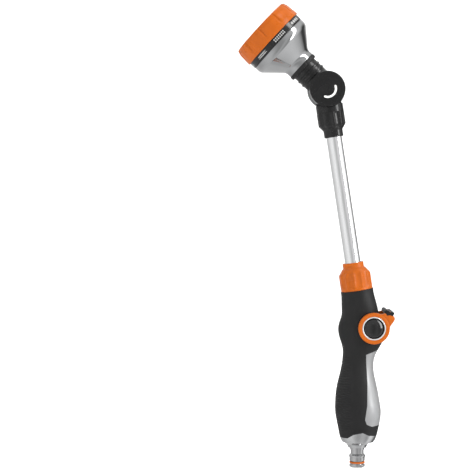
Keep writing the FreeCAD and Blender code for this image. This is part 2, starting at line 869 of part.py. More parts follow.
def elbow_base(frame):
    """The elbow's lower half: tube socket, neck, and the far cheek that the tilt axis runs through."""
    reach = size.pivot_reach
    top = -size.base_drop
    neck = turned("base_neck", [
        (0, size.elbow_thread_start - reach), (size.elbow_thread, size.elbow_thread_start - reach),
        (size.elbow_thread, size.elbow_nut_top - reach), (size.base_radius, size.elbow_nut_top - reach),
        (size.base_radius, top), (0, top),
    ])
    side = size.joint_gap / 2
    cheek = cross_rod("base_cheek", size.far_radius, side, size.far_width)
    web = block("base_web", (1 - size.base_radius, side, top - 6), (size.base_radius - 1, size.far_width, 0))
    solid = joined("base_solid", [neck, cheek, web])
    socket = rod("base_socket", size.tube_radius + size.slip, size.tube_top - size.elbow_thread_start + 1,
                 at(0, 0, size.elbow_thread_start - reach - 1))
    seal = rod("base_seal_seat", size.tube_radius + 2 * size.seal_ring + size.slip,
               2 * size.seal_ring + 1, at(0, 0, size.elbow_thread_start - reach - 1))
    saddle = cross_rod("base_saddle", size.near_radius + size.joint_gap, -size.near_width * 2, side)
    bore = cross_rod("base_bore", size.spindle_radius + size.running_gap, side - 1, size.far_width + 1)
    port = size.spindle_port
    gallery = cross_rod("base_gallery", size.spindle_radius + 1.6, port - 2, port + 2)
    rim = cross_rod("base_rim_full", size.cover_radius, size.cover_start, size.cover_end + 5)
    rim_core = cross_rod("base_rim_core", size.far_radius, 0, size.far_width)
    rim_cut = cut("base_rim", rim, [rim_core])
    duct = between("base_duct", size.duct_radius, (0, 0, size.tube_top - reach - 0.5), (0, port, 0))
    cut("elbow_base", solid, [socket, seal, saddle, bore, gallery, rim_cut, duct], frame["pivot"])


def arc_bar(name, radius, width, start, sweep, low, high):
    """A bar of even width bent to an arc, with round ends, about the Y axis."""
    half = width / 2
    bend = sector(f"{name}_bend", radius - half, radius + half, start, start + sweep, low, high)
    ends = []
    for side, angle in (("first", start), ("last", start + sweep)):
        ends.append(cross_rod(f"{name}_{side}", half, low, high, radius * cosine(angle), radius * sine(angle)))
    return [bend] + ends


def elbow_arm(frame):
    """The elbow's upper half: the near disc, the ribbed neck and the spigot that enters the head."""
    side = size.joint_gap / 2
    disc = cross_rod("arm_disc", size.near_radius, -size.near_width, -side)
    rib = size.arm_radius + size.arm_rib
    end = size.arm_end
    neck = turned("arm_neck", [
        (0, 6), (size.arm_radius, 6), (size.arm_radius, end - 13), (rib, end - 12), (rib, end - 10.4),
        (size.arm_radius, end - 9.6), (size.arm_radius, end - 7.4), (rib, end - 6.6), (rib, end - 5),
        (size.arm_radius, end - 4), (size.arm_radius, end), (size.arm_spigot, end),
        (size.arm_spigot, size.arm_spigot_end), (0, size.arm_spigot_end),
    ])
    solid = joined("arm_solid", [disc, neck])
    saddle = cross_rod("arm_saddle", size.cover_radius + size.joint_gap, -side, size.near_width * 2)
    bore = cross_rod("arm_bore", size.spindle_radius, -size.spindle_half, size.near_width)
    duct = between("arm_duct", size.duct_radius, (0, -size.spindle_port, 0), (0, 0, end))
    outlet = rod("arm_outlet", size.duct_radius, size.arm_spigot_end, at(0, 0, end - 1))
    ring = cross_rod("click_seat_outer", size.click_outer, -size.click_depth - side, size.near_width)
    ring_core = cross_rod("click_seat_core", size.click_inner, -size.near_width, size.near_width + 1)
    seat = cut("click_seat", ring, [ring_core])
    mark = arc_bar("mark_cut", size.mark_radius, size.mark_width, size.mark_start, size.mark_sweep,
                   -size.near_width - 1, size.mark_depth - size.near_width)
    cut("elbow_arm", solid, [saddle, bore, duct, outlet, seat] + mark, frame["head"])


def elbow_mark(frame):
    """The pale arc let into the near disc."""
    bars = arc_bar("mark_bar", size.mark_radius, size.mark_width, size.mark_start, size.mark_sweep,
                   -size.near_width, size.mark_depth - size.near_width)
    joined("elbow_mark", bars, frame["head"])


def elbow_far_disc(frame):
    """The silver cover over the far cheek and the tilt screw."""
    cover = cross_rod("cover_full", size.cover_radius, size.cover_start, size.cover_end)
    room = cross_rod("cover_room", size.far_radius, size.cover_start - 1, size.far_width)
    well = cross_rod("cover_well", size.spindle_radius + 3, size.far_width - 1, size.cover_end - 1)
    cut("elbow_far_disc", cover, [room, well], frame["pivot"])


def elbow_spindle(frame):
    """The hollow cross pin that the elbow tilts on, with a port into each half."""
    half = size.spindle_half
    body = cross_rod("spindle_body", size.spindle_radius, -half, half)
    bore = cross_rod("spindle_way", size.spindle_bore, -half + size.spindle_wall,
                     half - size.spindle_wall)
    up = rod("spindle_up", 3, size.spindle_radius + 2, at(0, -size.spindle_port, 0))
    down = rod("spindle_down", 2, size.spindle_radius * 2 + 4, at(0, size.spindle_port, -size.spindle_radius - 2))
    tapped = cross_rod("spindle_tapped", size.elbow_screw, half - size.spindle_wall - 1, half + 1)
    tools = [bore, up, down, tapped]
    depth = size.spindle_radius - 2 * size.spindle_seal - 0.02
    for name, middle in (("inner", 2.4), ("outer", 10.6)):
        ring = cross_rod(f"spindle_{name}_ring", size.spindle_radius + 1, term(middle) - 0.85, term(middle) + 0.85)
        core = cross_rod(f"spindle_{name}_core", depth, middle - 2, middle + 2)
        tools.append(cut(f"spindle_{name}_groove", ring, [core]))
    cut("elbow_spindle", body, tools, frame["head"])


def elbow_small_parts(frame):
    """The spindle's seals, the toothed click ring, the spring washer and the tilt screw."""
    centre = size.spindle_radius - size.spindle_seal - 0.01
    rings = []
    for name, middle in (("inner", 2.4), ("outer", 10.6)):
        ring = o_ring(f"spindle_seal_{name}", centre, size.spindle_seal, 0, at(0, middle, 0, Y_AXIS))
        rings.append(ring)
    group("elbow_seals", rings, frame["head"])
    side = size.joint_gap / 2
    ring = cross_rod("click_full", size.click_outer, -size.click_depth - side, -side)
    tools = [cross_rod("click_hole", size.click_inner, -size.near_width, size.near_width)]
    reach = (size.click_inner + size.click_outer) / 2
    teeth = int(size.click_teeth.value)
    for number in range(teeth):
        angle = term(360.0 * number) / size.click_teeth
        tools.append(cross_rod(f"click_notch_{number}", 0.55, -side - 0.8, side,
                               reach * cosine(angle), reach * sine(angle)))
    cut("elbow_click_ring", ring, tools, frame["head"])
    low = size.far_width + size.side_gap
    washer = cross_rod("washer_full", size.spindle_radius + 1, low, low + size.washer_thickness)
    hole = cross_rod("washer_hole", size.elbow_screw + 0.1, low - 1, low + 2)
    cut("elbow_washer", washer, [hole], frame["head"])
    head = low + size.washer_thickness
    shank = cross_rod("tilt_shank", size.elbow_screw, size.spindle_half - size.spindle_wall, head)
    cap = cross_rod("tilt_head", size.elbow_screw_head, head, size.cover_end - 1.3)
    joined("elbow_screw", [shank, cap], frame["head"])


def head_shell(frame):
    """The black collar, its gasket and the silver bell with its bulkhead, post, port and click pocket."""
    turned("head_collar", [
        (size.arm_spigot, size.arm_end), (size.collar_radius, size.arm_end),
        (size.collar_radius, size.bell_start), (size.arm_spigot, size.bell_start),
    ], frame["head"])
    lip = size.arm_spigot_end
    turned("collar_gasket", [
        (size.duct_radius + 2, lip), (size.arm_spigot, lip), (size.arm_spigot, lip + 1.2),
        (size.duct_radius + 2, lip + 1.2),
    ], frame["head"])
    wall = size.bell_wall
    back = size.bell_end - size.bulkhead
    body = turned("bell_body", [
        (size.head_screw, size.bell_end), (size.bell_radius, size.bell_end),
        (size.bell_radius, size.bell_cone_end), (size.bell_neck, size.bell_cone_start),
        (size.bell_neck, size.bell_start), (size.arm_spigot, size.bell_start),
        (size.arm_spigot, lip + 1.2), (size.duct_radius + 2, lip + 1.2),
        (size.duct_radius + 2, lip + 1.8), (size.bell_neck - wall, lip + 3.8),
        (size.bell_radius - wall * 2, back - 2), (size.bell_radius - wall * 2, back),
        (size.post_radius, back), (size.post_radius, size.post_start), (size.head_screw, size.post_start),
    ])
    rounded(body, "bell_shoulder", size.bell_round, [(size.bell_radius, size.bell_cone_end)])
    port = rod("bell_port", size.port_radius, size.bulkhead + 2, at(size.port_circle, 0, back - 1))
    cup = rod("bell_cup", size.port_radius + size.port_wall, size.bulkhead,
              at(size.port_circle, 0, back + 0.8))
    reach = size.dimple_circle
    pocket = block("bell_pocket", (-reach - 2.4, -6.4, size.bell_end - 3.2), (2.4 - reach, 6.4, size.bell_end + 1))
    seal = size.bell_end - 1.0
    groove_full = rod("bell_groove_full", size.bell_radius - 1.6, 3, at(0, 0, seal - 1.0))
    groove_core = rod("bell_groove_core", size.bell_radius - 4.0, 5, at(0, 0, seal - 2.0))
    groove = cut("bell_groove", groove_full, [groove_core])
    cut("head_bell", body, [port, cup, pocket, groove], frame["head"])


def head_small_parts(frame):
    """The port seal and its spring, the large O-ring, the click leaf, and the screw with its washer."""
    back = size.bell_end - size.bulkhead + 0.8
    outer = size.port_radius + size.port_wall
    reach = size.port_circle
    top = size.bell_end + size.turn_gap / 2
    tall = rod("port_seal_full", outer, 2.6, at(reach, 0, top - 2.6))
    hole = rod("port_seal_hole", size.port_radius, 6, at(reach, 0, top - 4))
    cut("port_seal", tall, [hole], frame["head"])
    spring_top = top - 2.6
    coils = []
    for number in range(3):
        height = back + 0.45 + (spring_top - back - 0.9) * (number / 2)
        coils.append(o_ring(f"port_coil_{number}", outer - 0.7, 0.4, 0, at(reach, 0, height)))
    group("port_spring", coils, frame["head"])
    centre = size.bell_radius - 2.8
    section = size.head_seal_section
    ring = o_ring("head_ring", centre, section, size.bell_end - section + size.turn_gap / 2)
    group("head_seal", [ring], frame["head"])
    click_leaf(frame)
    gap = size.turn_gap
    plate_top = size.bell_end + gap + size.plate_thickness
    hub_top = plate_top + 11
    turned("head_washer", [
        (size.head_screw + 0.05, hub_top + gap), (size.post_radius, hub_top + gap),
        (size.post_radius, hub_top + gap + 1), (size.head_screw + 0.05, hub_top + gap + 1),
    ], frame["head"])
    seat = hub_top + gap + 1
    turned("head_screw", [
        (0, size.post_start), (size.head_screw, size.post_start), (size.head_screw, seat),
        (size.head_screw_head, seat), (size.head_screw_head, seat + 2.6), (0, seat + 2.6),
    ], frame["head"])


def click_leaf(frame):
    """A bent strip in the bell's pocket whose crown stands in one of the chamber plate's dimples."""
    reach = size.dimple_circle
    base = block("leaf_base", (-reach - 1.9, -6, size.bell_end - 3.1), (1.9 - reach, 6, size.bell_end - 2.5))
    rise = 3.2
    arch = cross_rod_x("leaf_arch", 6.4, -reach - 1.9, 1.9 - reach, 0, size.bell_end + 1.1 - 6.4)
    inside = cross_rod_x("leaf_inside", 5.8, -reach - 3, 3 - reach, 0, size.bell_end + 1.1 - 6.4)
    window = block("leaf_window", (-reach - 3, -rise, size.bell_end - 2.6), (3 - reach, rise, size.bell_end + 4))
    bow = shared("leaf_bow", cut("leaf_hoop", arch, [inside]), window)
    legs = block("leaf_legs", (-reach - 1.9, -5.6, size.bell_end - 2.6), (1.9 - reach, -rise + 0.2, size.bell_end - 1.9))
    more = block("leaf_legs_far", (-reach - 1.9, rise - 0.2, size.bell_end - 2.6), (1.9 - reach, 5.6, size.bell_end - 1.9))
    left = block("leaf_left", (-reach - 1.9, -rise, size.bell_end - 2.6), (1.9 - reach, -rise + 0.6, size.bell_end + 0.3 - 0.1))
    right = block("leaf_right", (-reach - 1.9, rise - 0.6, size.bell_end - 2.6), (1.9 - reach, rise, size.bell_end + 0.3 - 0.1))
    joined("click_spring", [base, bow, legs, more, left, right], frame["head"])


def cross_rod_x(name, radius, start, end, y, z):
    """A cylinder along X from start to end."""
    return rod(name, radius, term(end) - start, at(start, y, z, "rotation(vector(0; 1; 0); 90)"))


def chamber_plate(frame):
    """The plate behind the face: one port and one dimple for each pattern, hub and dividing walls."""
    low = size.bell_end + size.turn_gap
    top = low + size.plate_thickness
    face = size.bezel_end - size.bezel_lip_depth - size.spray_thickness
    outer = size.bezel_radius - size.bezel_wall
    hub = size.post_radius
    bore = size.head_screw + size.running_gap
    hub_top = top + 11
    body = turned("chamber_body", [
        (bore, low), (outer, low), (outer, face), (outer - 2, face), (outer - 2, top), (hub, top),
        (hub, hub_top), (bore, hub_top),
    ])
    drilled_ring(body, "chamber_port", size.port_circle, size.port_radius, size.patterns)
    walls = [body]
    half = size.rib_thickness / 2
    count = int(size.patterns.value)
    for number in range(count):
        angle = 360.0 / count * (number + 0.5)
        wall = block(f"chamber_wall_{number}", (0, 0, 0), (outer - hub - 0.5, size.rib_thickness, face - top))
        turn = f"rotation(vector(0; 0; 1); {angle})"
        x = (hub - 0.2) * cosine(term(angle)) + half * sine(term(angle))
        y = (hub - 0.2) * sine(term(angle)) - half * cosine(term(angle))
        walls.append(place(wall, at(x, y, top, turn)))
    tools = [rod("chamber_well", size.post_radius + 1.2, face, at(0, 0, hub_top))]
    for number in range(count):
        angle = term(360.0 / count * number)
        tools.append(rod(f"chamber_dimple_{number}", size.dimple_radius + 2.2, 1.6,
                         at(size.dimple_circle * cosine(angle), size.dimple_circle * sine(angle), low - 0.3)))
    cut("chamber_plate", joined("chamber_solid", walls), tools, frame["head"])


def spray_plate(frame):
    """The round face plate with its rings of spray holes."""
    low = size.bezel_end - size.bezel_lip_depth - size.spray_thickness
    high = size.bezel_end - size.bezel_lip_depth
    outer = size.bezel_radius - size.bezel_wall
    body = turned("spray_plate", [(0, low), (outer, low), (outer, high), (0, high)], frame["head"])
    for number, (radius, count) in enumerate(((4.5, 8), (11.0, 16), (16.5, 24), (22.0, 32), (26.5, 40))):
        drilled_ring(body, f"spray_{number}", radius, size.spray_hole, count)


def front_rings(frame):
    """The black band and the orange bezel that turn with the front."""
    low = size.bell_end + size.turn_gap
    inner = size.bezel_radius - size.bezel_wall
    turned("pattern_band", [
        (inner, low), (size.band_radius - 0.5, low), (size.band_radius, low + 0.5),
        (size.band_radius, size.band_end), (inner, size.band_end),
    ], frame["head"])
    lip = size.bezel_end - size.bezel_lip_depth
    body = turned("bezel", [
        (inner, size.band_end), (size.bezel_radius, size.band_end),
        (size.bezel_radius, size.band_end + 2.4), (size.bezel_radius - 0.9, size.bezel_end),
        (inner - size.bezel_lip, size.bezel_end), (inner - size.bezel_lip, lip), (inner, lip),
    ], frame["head"])
    rounded(body, "bezel_front", size.bezel_round, [(size.bezel_radius - 0.9, size.bezel_end)])
    drilled_ring(body, "bezel_groove", size.bezel_radius + 4.2, 5.0, size.bezel_grooves)


def pattern_marks(frame):
    """A small pale mark on the band for each pattern."""
    low = size.bell_end + size.turn_gap + size.mark_edge
    high = size.band_end - size.mark_edge
    marks = []
    for number in range(int(size.patterns.value)):
        turn = f"rotation(vector(0; 0; 1); {45.0 * number} - {size.mark_span.text} / 2)"
        name = f"pattern_mark_{number}"
        full = rod(f"{name}_full", size.band_radius + size.mark_proud, high - low, at(0, 0, low, turn),
                   size.mark_span)
        core = rod(f"{name}_core", size.band_radius, high - low + 2, at(0, 0, low - 1))
        marks.append(cut(name, full, [core]))
    group("pattern_marks", marks, frame["head"])


NODES = [
    "hose_plug", "plug_o_ring", "plug_gasket", "inlet_strainer", "end_cap", "grip_sleeve", "palm_panel",
    "handle_core", "valve_rotor", "rotor_seals", "lever_yoke", "thumb_pad", "trim_ring_near",
    "trim_ring_far", "hub_cap_near", "hub_cap_far", "lever_screws", "handle_nut", "handle_collet",
    "handle_tube_seal", "tube", "elbow_tube_seal", "elbow_collet", "elbow_nut", "elbow_base",
    "elbow_arm", "elbow_mark", "elbow_far_disc", "elbow_spindle", "elbow_seals", "elbow_click_ring",
    "elbow_washer", "elbow_screw", "head_collar", "collar_gasket", "head_bell", "port_seal",
    "port_spring", "head_seal", "click_spring", "head_washer", "head_screw", "chamber_plate",
    "spray_plate", "pattern_band", "bezel", "pattern_marks",
]


def build():
    """Fill the sheet, build every sub-part, and recompute the document."""
    fill_sheet()
    frame = frames()
    hose_plug()
    plug_seals()
    inlet_strainer()
    outer = handle_form("handle_outer", 0)
    inner = handle_form("handle_inner", size.skin)
    handle_skin(outer, inner)
    handle_core(inner, frame)
    valve_rotor()
    rotor_seals()
    core, lobe = lever_yoke()
    thumb_pad(core, lobe)
    hub_trim()
    tube(frame)
    tube_fittings(frame)
    handle_nut(frame)
    elbow_nut(frame)
    elbow_base(frame)
    elbow_arm(frame)
    elbow_mark(frame)
    elbow_far_disc(frame)
    elbow_spindle(frame)
    elbow_small_parts(frame)
    head_shell(frame)
    head_small_parts(frame)
    chamber_plate(frame)
    spray_plate(frame)
    front_rings(frame)
    pattern_marks(frame)
    doc.recompute()


def check():
    """Stop if any object of the document failed, or any sub-part has no sound shape."""
    faults = [f"{item.Name}: {item.State}" for item in doc.Objects
              if "Invalid" in item.State or "Error" in item.State]
    for node in NODES:
        piece = doc.getObject(node)
        if piece is None or piece.Shape.isNull() or not piece.Shape.isValid():
            faults.append(f"{node}: no valid shape")
        elif not piece.Shape.Solids:
            faults.append(f"{node}: no solid")
    if faults:
        raise RuntimeError("; ".join(faults))


def write_parts():
    os.makedirs("parts", exist_ok=True)
    for node in NODES:
        piece = doc.getObject(node)
        piece.Label = node
        piece.Shape.exportStep(f"parts/{node}.step")
        print(node, len(piece.Shape.Solids), round(piece.Shape.Volume))


build()
check()
write_parts()
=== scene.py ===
# %% [markdown]
# # A watering wand, piece by piece
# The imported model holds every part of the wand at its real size. This lesson loads it, keeps the parts
# whose shape is already right, and makes finer surfaces for the parts where an eye or a hand rests.
# Every new surface is worked out with numpy as one array of points, in millimetres, and only becomes a
# mesh at the very end.

# %% Load the frame
import json
import math

import bpy
import numpy as np
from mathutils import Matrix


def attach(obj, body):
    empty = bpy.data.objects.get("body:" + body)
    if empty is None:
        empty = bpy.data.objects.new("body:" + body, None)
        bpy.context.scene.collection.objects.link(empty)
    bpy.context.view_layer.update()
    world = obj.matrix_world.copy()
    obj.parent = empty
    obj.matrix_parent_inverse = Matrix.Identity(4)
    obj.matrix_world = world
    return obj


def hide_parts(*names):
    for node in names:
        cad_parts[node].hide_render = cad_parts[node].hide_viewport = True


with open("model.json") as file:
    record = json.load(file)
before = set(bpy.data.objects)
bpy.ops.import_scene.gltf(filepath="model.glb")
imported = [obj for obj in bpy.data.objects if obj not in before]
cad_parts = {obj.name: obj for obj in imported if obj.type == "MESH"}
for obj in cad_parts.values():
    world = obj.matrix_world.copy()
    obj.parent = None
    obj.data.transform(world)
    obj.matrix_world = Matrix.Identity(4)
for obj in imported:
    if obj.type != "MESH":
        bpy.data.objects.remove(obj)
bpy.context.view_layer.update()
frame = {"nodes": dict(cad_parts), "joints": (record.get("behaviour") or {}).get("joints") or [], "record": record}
nodes = frame["nodes"]
joints = {joint["name"]: joint for joint in frame["joints"]}

# %% [markdown]
# Everything on the wand sits on one of a few axes: the handle's upright axis, the leaning tube, the head
# that nods on the elbow, and the valve's cross axis. The joints in the record already say where those
# are. An axis is kept as a place: an origin, two directions across it and one along it. A profile drawn
# once as radius and height can then be put on any of them.

# %% The axes that pieces are placed on
MM = 0.001
TO_MM = 1000.0
LEAN = math.radians(8.65)
REACH = 208.8
Y = np.array([0.0, 1.0, 0.0])


def place(origin, axis):
    """A place is (origin, side, across, axis): across is +Y, side is across times axis."""
    axis = np.array(axis, float) / np.linalg.norm(axis)
    return np.array(origin, float), np.cross(Y, axis), Y, axis


pivot = np.array(joints["head_tilt"]["pos_m"]) * TO_MM
valve = np.array(joints["valve_lever"]["pos_m"]) * TO_MM
tube_axis = np.array([-math.sin(LEAN), 0.0, math.cos(LEAN)])
UPRIGHT = place((0, 0, 0), (0, 0, 1))
TUBE = place(pivot - REACH * tube_axis, tube_axis)
HEAD = place(pivot, joints["pattern_turn"]["axis"])
X, Z = np.array([1.0, 0.0, 0.0]), np.array([0.0, 0.0, 1.0])
VALVE_NEAR = (valve, X, Z, -Y)
VALVE_FAR = (valve, Z, X, Y)
print("pivot", pivot.round(1), "valve", valve.round(1), "millimetres")

# %% [markdown]
# A profile with sharp corners looks like paper: real mouldings and turned metal always have a small
# radius that catches the light. So each outline is drawn with a few plain corners, and one function
# rounds them. Extra points just outside each round keep the flat stretches flat when the mesh is shaded
# smoothly.

# %% Rounding an outline
def rounded(corners, closed=False, steps=5):
    """A polyline of (x, y, radius) corners, its corners made round.

    Each corner becomes the curve (1-t)^2 A + 2t(1-t) P + t^2 B, where P is the corner and A and B lie on
    the two edges at the given radius from it. A point a little further out guards each flat stretch.
    """
    table = np.array(corners, float)
    point, size = table[:, :2], table[:, 2]
    back = np.roll(point, 1, 0) - point
    ahead = np.roll(point, -1, 0) - point
    back_length = np.linalg.norm(back, axis=1)
    ahead_length = np.linalg.norm(ahead, axis=1)
    reach = np.minimum(size, 0.45 * np.minimum(back_length, ahead_length))
    if not closed:
        reach[[0, -1]] = 0.0
    back = back / back_length[:, None] * reach[:, None]
    ahead = ahead / ahead_length[:, None] * reach[:, None]
    t = np.linspace(0, 1, steps)[None, :, None]
    first, last = (point + back)[:, None], (point + ahead)[:, None]
    curve = (1 - t) ** 2 * first + 2 * t * (1 - t) * point[:, None] + t ** 2 * last
    guard_in = (point + back * 1.1)[:, None]
    guard_out = (point + ahead * 1.1)[:, None]
    path = np.concatenate([guard_in, curve, guard_out], axis=1).reshape(-1, 2)
    gap = np.linalg.norm(np.diff(path, axis=0), axis=1)
    return path[np.concatenate([[True], gap > 1e-6])]


square = rounded([(0, 0, 1), (9, 0, 1), (9, 9, 1), (0, 9, 1)], closed=True)
print("a square with round corners has", len(square), "points")

# %% [markdown]
# A surface here is a grid of points, rings one way and steps the other. The faces follow from the grid's
# size alone, so one function can turn any such grid into a mesh. It closes the ends, works out the
# volume, and turns the faces round if that comes out negative, so that they always point outwards.

# %% From grids of points to one mesh
def grid_faces(rings, steps, wrap, start):
    """Quads between neighbours of a (rings, steps) grid. Rings always close; steps close if wrap is set."""
    ring = np.arange(rings)[:, None]
    step = np.arange(steps if wrap else steps - 1)[None, :]
    after_ring, after_step = (ring + 1) % rings, (step + 1) % steps
    quads = [ring * steps + step, after_ring * steps + step, after_ring * steps + after_step,
             ring * steps + after_step]
    return np.stack(quads, axis=-1).reshape(-1, 4) + start


def volume(points, quads):
    """Six times the signed volume: the sum of a . (b x c) over each quad's two triangles."""
    a, b, c, d = (points[quads[:, i]] for i in range(4))
    return np.sum(a * np.cross(b, c)) + np.sum(a * np.cross(c, d))


def make_piece(name, grids, material, body, stands_for=(), wrap=False):
    """One mesh from (rings, steps, 3) grids of millimetre points, each a closed surface."""
    points, faces, start = [], [], 0
    for grid in grids:
        rings, steps = grid.shape[:2]
        flat = grid.reshape(-1, 3)
        quads = grid_faces(rings, steps, wrap, 0)
        turned_in = volume(flat - flat.mean(axis=0), quads) < 0
        ends = [] if wrap else [np.arange(rings)[::-1] * steps, np.arange(rings) * steps + steps - 1]
        found = [quad.tolist() for quad in (quads[:, ::-1] if turned_in else quads) + start]
        found += [(end[::-1] if turned_in else end) + start for end in ends]
        faces += [list(map(int, face)) for face in found]
        points.append(flat * MM)
        start += len(flat)
    mesh = bpy.data.meshes.new(name)
    mesh.from_pydata(np.concatenate(points).tolist(), [], faces)
    smooth = np.array([len(face) == 4 for face in faces])
    mesh.polygons.foreach_set("use_smooth", smooth)
    mesh.validate()
    mesh.update()
    piece = bpy.data.objects.new(name, mesh)
    bpy.context.scene.collection.objects.link(piece)
    mesh.materials.append(material)
    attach(piece, body)
    if stands_for:
        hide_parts(*stands_for)
    print(name, len(mesh.polygons), "faces")
    return piece


print("a grid of 4 rings and 3 steps has", len(grid_faces(4, 3, False, 0)), "quads")

# %% [markdown]
# Most parts of the wand are turned or moulded round an axis. Their surface is a profile carried round
# that axis, and flutes, notches and flat faces are a relief that pushes it in or out by a little. Each
# relief is built from two small formulas: a smooth ramp, and the angle from the nearest of some spokes.

# %% Profiles carried round an axis
def turned(profile, where, relief=None, rings=120):
    """A grid from a (radius, height) profile carried round a place's axis.

    Point = origin + (radius + relief) * (cos angle * side + sin angle * across) + height * axis.
    The relief is a function of angle and height that pushes the surface in or out.
    """
    origin, side, across, axis = where
    angle = np.linspace(0, 2 * np.pi, rings, endpoint=False)[:, None]
    radius, height = profile[None, :, 0], profile[None, :, 1]
    if relief is not None:
        radius = radius + relief(angle, radius, height)
    radius = np.broadcast_to(radius, (rings, profile.shape[0]))
    spoke = np.cos(angle)[..., None] * side + np.sin(angle)[..., None] * across
    return origin + radius[..., None] * spoke + height[..., None] * axis


def fade(value, low, high):
    """A smooth step from 0 at low to 1 at high: 3t^2 - 2t^3."""
    t = np.clip((value - low) / (high - low), 0, 1)
    return t * t * (3 - 2 * t)


def from_nearest(angle, count, turn=0.0):
    """The angle from the nearest of count evenly spaced spokes, the first of them at turn."""
    pitch = 2 * np.pi / count
    return (angle - turn + pitch / 2) % pitch - pitch / 2


print("half way along a ramp the smooth step is", fade(0.5, 0, 1))

# %% [markdown]
# # The camera, the light and the floor
# A product photographer hangs a wand like this in a white tent: broad soft light from above and from
# both sides, and darkness only where the camera stands. The floor curves up into a wall all round, so
# there is no horizon from any side.

# %% Camera
CAMERA_TARGET = np.array([-0.1263, 0.0, 0.2386])
CAMERA_DISTANCE = 1.8
CAMERA_RISE = math.radians(2.0)
FIELD = 0.4841
SENSOR = 36.0

toward_lens = np.array([0.0, -math.cos(CAMERA_RISE), math.sin(CAMERA_RISE)])
camera_data = bpy.data.cameras.new("camera")
camera_data.sensor_width = SENSOR
camera_data.lens = SENSOR * CAMERA_DISTANCE / FIELD
camera = bpy.data.objects.new("camera", camera_data)
camera.location = CAMERA_TARGET + CAMERA_DISTANCE * toward_lens
camera.rotation_euler = (math.pi / 2 - CAMERA_RISE, 0, 0)
bpy.context.scene.collection.objects.link(camera)
bpy.context.scene.camera = camera
bpy.context.scene.view_settings.view_transform = "Standard"
print("lens", round(camera_data.lens, 1), "mm")

# %% [markdown]
# Two soft boxes do the modelling. A tall narrow one stands in front on the right and gives every round
# part one long highlight. A broad weak one hangs overhead and lifts the upper faces. Both are area
# lights, because a glossy part mirrors the lamp's own shape, and a small lamp would show as a dot.

# %% Lights
def soft_box(name, location, aim, width, height, power):
    """An area light that faces a point."""
    data = bpy.data.lights.new(name, "AREA")
    data.shape = "RECTANGLE"
    data.size, data.size_y, data.energy = width, height, power
    light = bpy.data.objects.new(name, data)
    light.location = location
    gap = np.array(aim) - np.array(location)
    level_gap = math.hypot(gap[0], gap[1])
    light.rotation_euler = (math.atan2(level_gap, -gap[2]), 0, math.atan2(gap[1], gap[0]) - math.pi / 2)
    bpy.context.scene.collection.objects.link(light)


WAND_MIDDLE = (-0.08, 0.0, 0.25)
soft_box("key_box", (1.52, -0.745, 1.10), WAND_MIDDLE, width=0.5, height=2.3, power=32)
soft_box("top_box", (-0.5, 0.3, 1.9), WAND_MIDDLE, width=1.6, height=1.2, power=9)
print(len(bpy.data.lights), "soft boxes")

# %% [markdown]
# Bright metal shows nothing of its own, only what stands round it. So the tent is not evenly white: going
# round it by the compass, its brightness rises and falls like a row of white and grey cards. A tall
# bright card on the right draws the long highlight down the tube, and the dark card beside it draws the
# thin dark line that gives the tube its roundness. Steeply up and steeply down the cards give way to one
# even level. The curve that holds the cards only goes up to 1, so levels are halved on the way in and
# doubled on the way out.

# %% The tent, as brightness by compass angle
CARDS = [(-180, 0.75), (-123, 0.62), (-95, 0.75), (-47, 0.98), (-20, 0.72), (0, 0.55), (28, 0.76), (52, 0.55),
         (66, 0.9), (80, 1.2), (96, 1.0), (116, 0.45), (130, 0.08), (146, 0.3), (165, 0.75), (180, 0.75)]
OVERHEAD = 0.9
DOWNWARD = 0.65
RISE_START, RISE_END = 0.3, 0.72
CURVE_TOP = 2


def combine(tree, operation, first, second):
    """A Math node on two sources or numbers, in a material's tree or the world's."""
    step = tree.nodes.new("ShaderNodeMath")
    step.operation = operation
    for socket, value in zip(step.inputs, (first, second)):
        if isinstance(value, (int, float)):
            socket.default_value = value
        else:
            tree.links.new(value, socket)
    return step.outputs[0]


world = bpy.data.worlds.new("white tent")
bpy.context.scene.world = world
world.use_nodes = True
sky = world.node_tree
sky_coordinates = sky.nodes.new("ShaderNodeTexCoord")
sky_split = sky.nodes.new("ShaderNodeSeparateXYZ")
sky.links.new(sky_coordinates.outputs["Generated"], sky_split.inputs[0])
toward_front = combine(sky, "MULTIPLY", sky_split.outputs["Y"], -1)
compass = combine(sky, "ARCTAN2", sky_split.outputs["X"], toward_front)
round_once = sky.nodes.new("ShaderNodeMapRange")
round_once.inputs["From Min"].default_value = -math.pi
round_once.inputs["From Max"].default_value = math.pi
sky.links.new(compass, round_once.inputs["Value"])
cards = sky.nodes.new("ShaderNodeFloatCurve")
curve = cards.mapping.curves[0]
while len(curve.points) < len(CARDS):
    curve.points.new(0.5, 0.5)
for point, (angle, level) in zip(curve.points, CARDS):
    point.location = ((angle + 180) / 360, level / CURVE_TOP)
    point.handle_type = "AUTO_CLAMPED"
cards.mapping.update()
sky.links.new(round_once.outputs["Result"], cards.inputs["Value"])
steepness = combine(sky, "MULTIPLY", sky_split.outputs["Z"], -DOWNWARD)
steeper = combine(sky, "MAXIMUM", sky_split.outputs["Z"], steepness)
rise = sky.nodes.new("ShaderNodeMapRange")
rise.interpolation_type = "SMOOTHSTEP"
rise.inputs["From Min"].default_value = RISE_START
rise.inputs["From Max"].default_value = RISE_END
sky.links.new(steeper, rise.inputs["Value"])
level_mix = sky.nodes.new("ShaderNodeMix")
level_mix.inputs["B"].default_value = OVERHEAD / CURVE_TOP
sky.links.new(rise.outputs["Result"], level_mix.inputs["Factor"])
sky.links.new(cards.outputs["Value"], level_mix.inputs["A"])
brightness = combine(sky, "MULTIPLY", level_mix.outputs["Result"], CURVE_TOP)
sky.links.new(brightness, sky.nodes["Background"].inputs["Strength"])
sky.nodes["Background"].inputs["Color"].default_value = (1, 1, 1, 1)
print(len(CARDS), "cards round the tent")


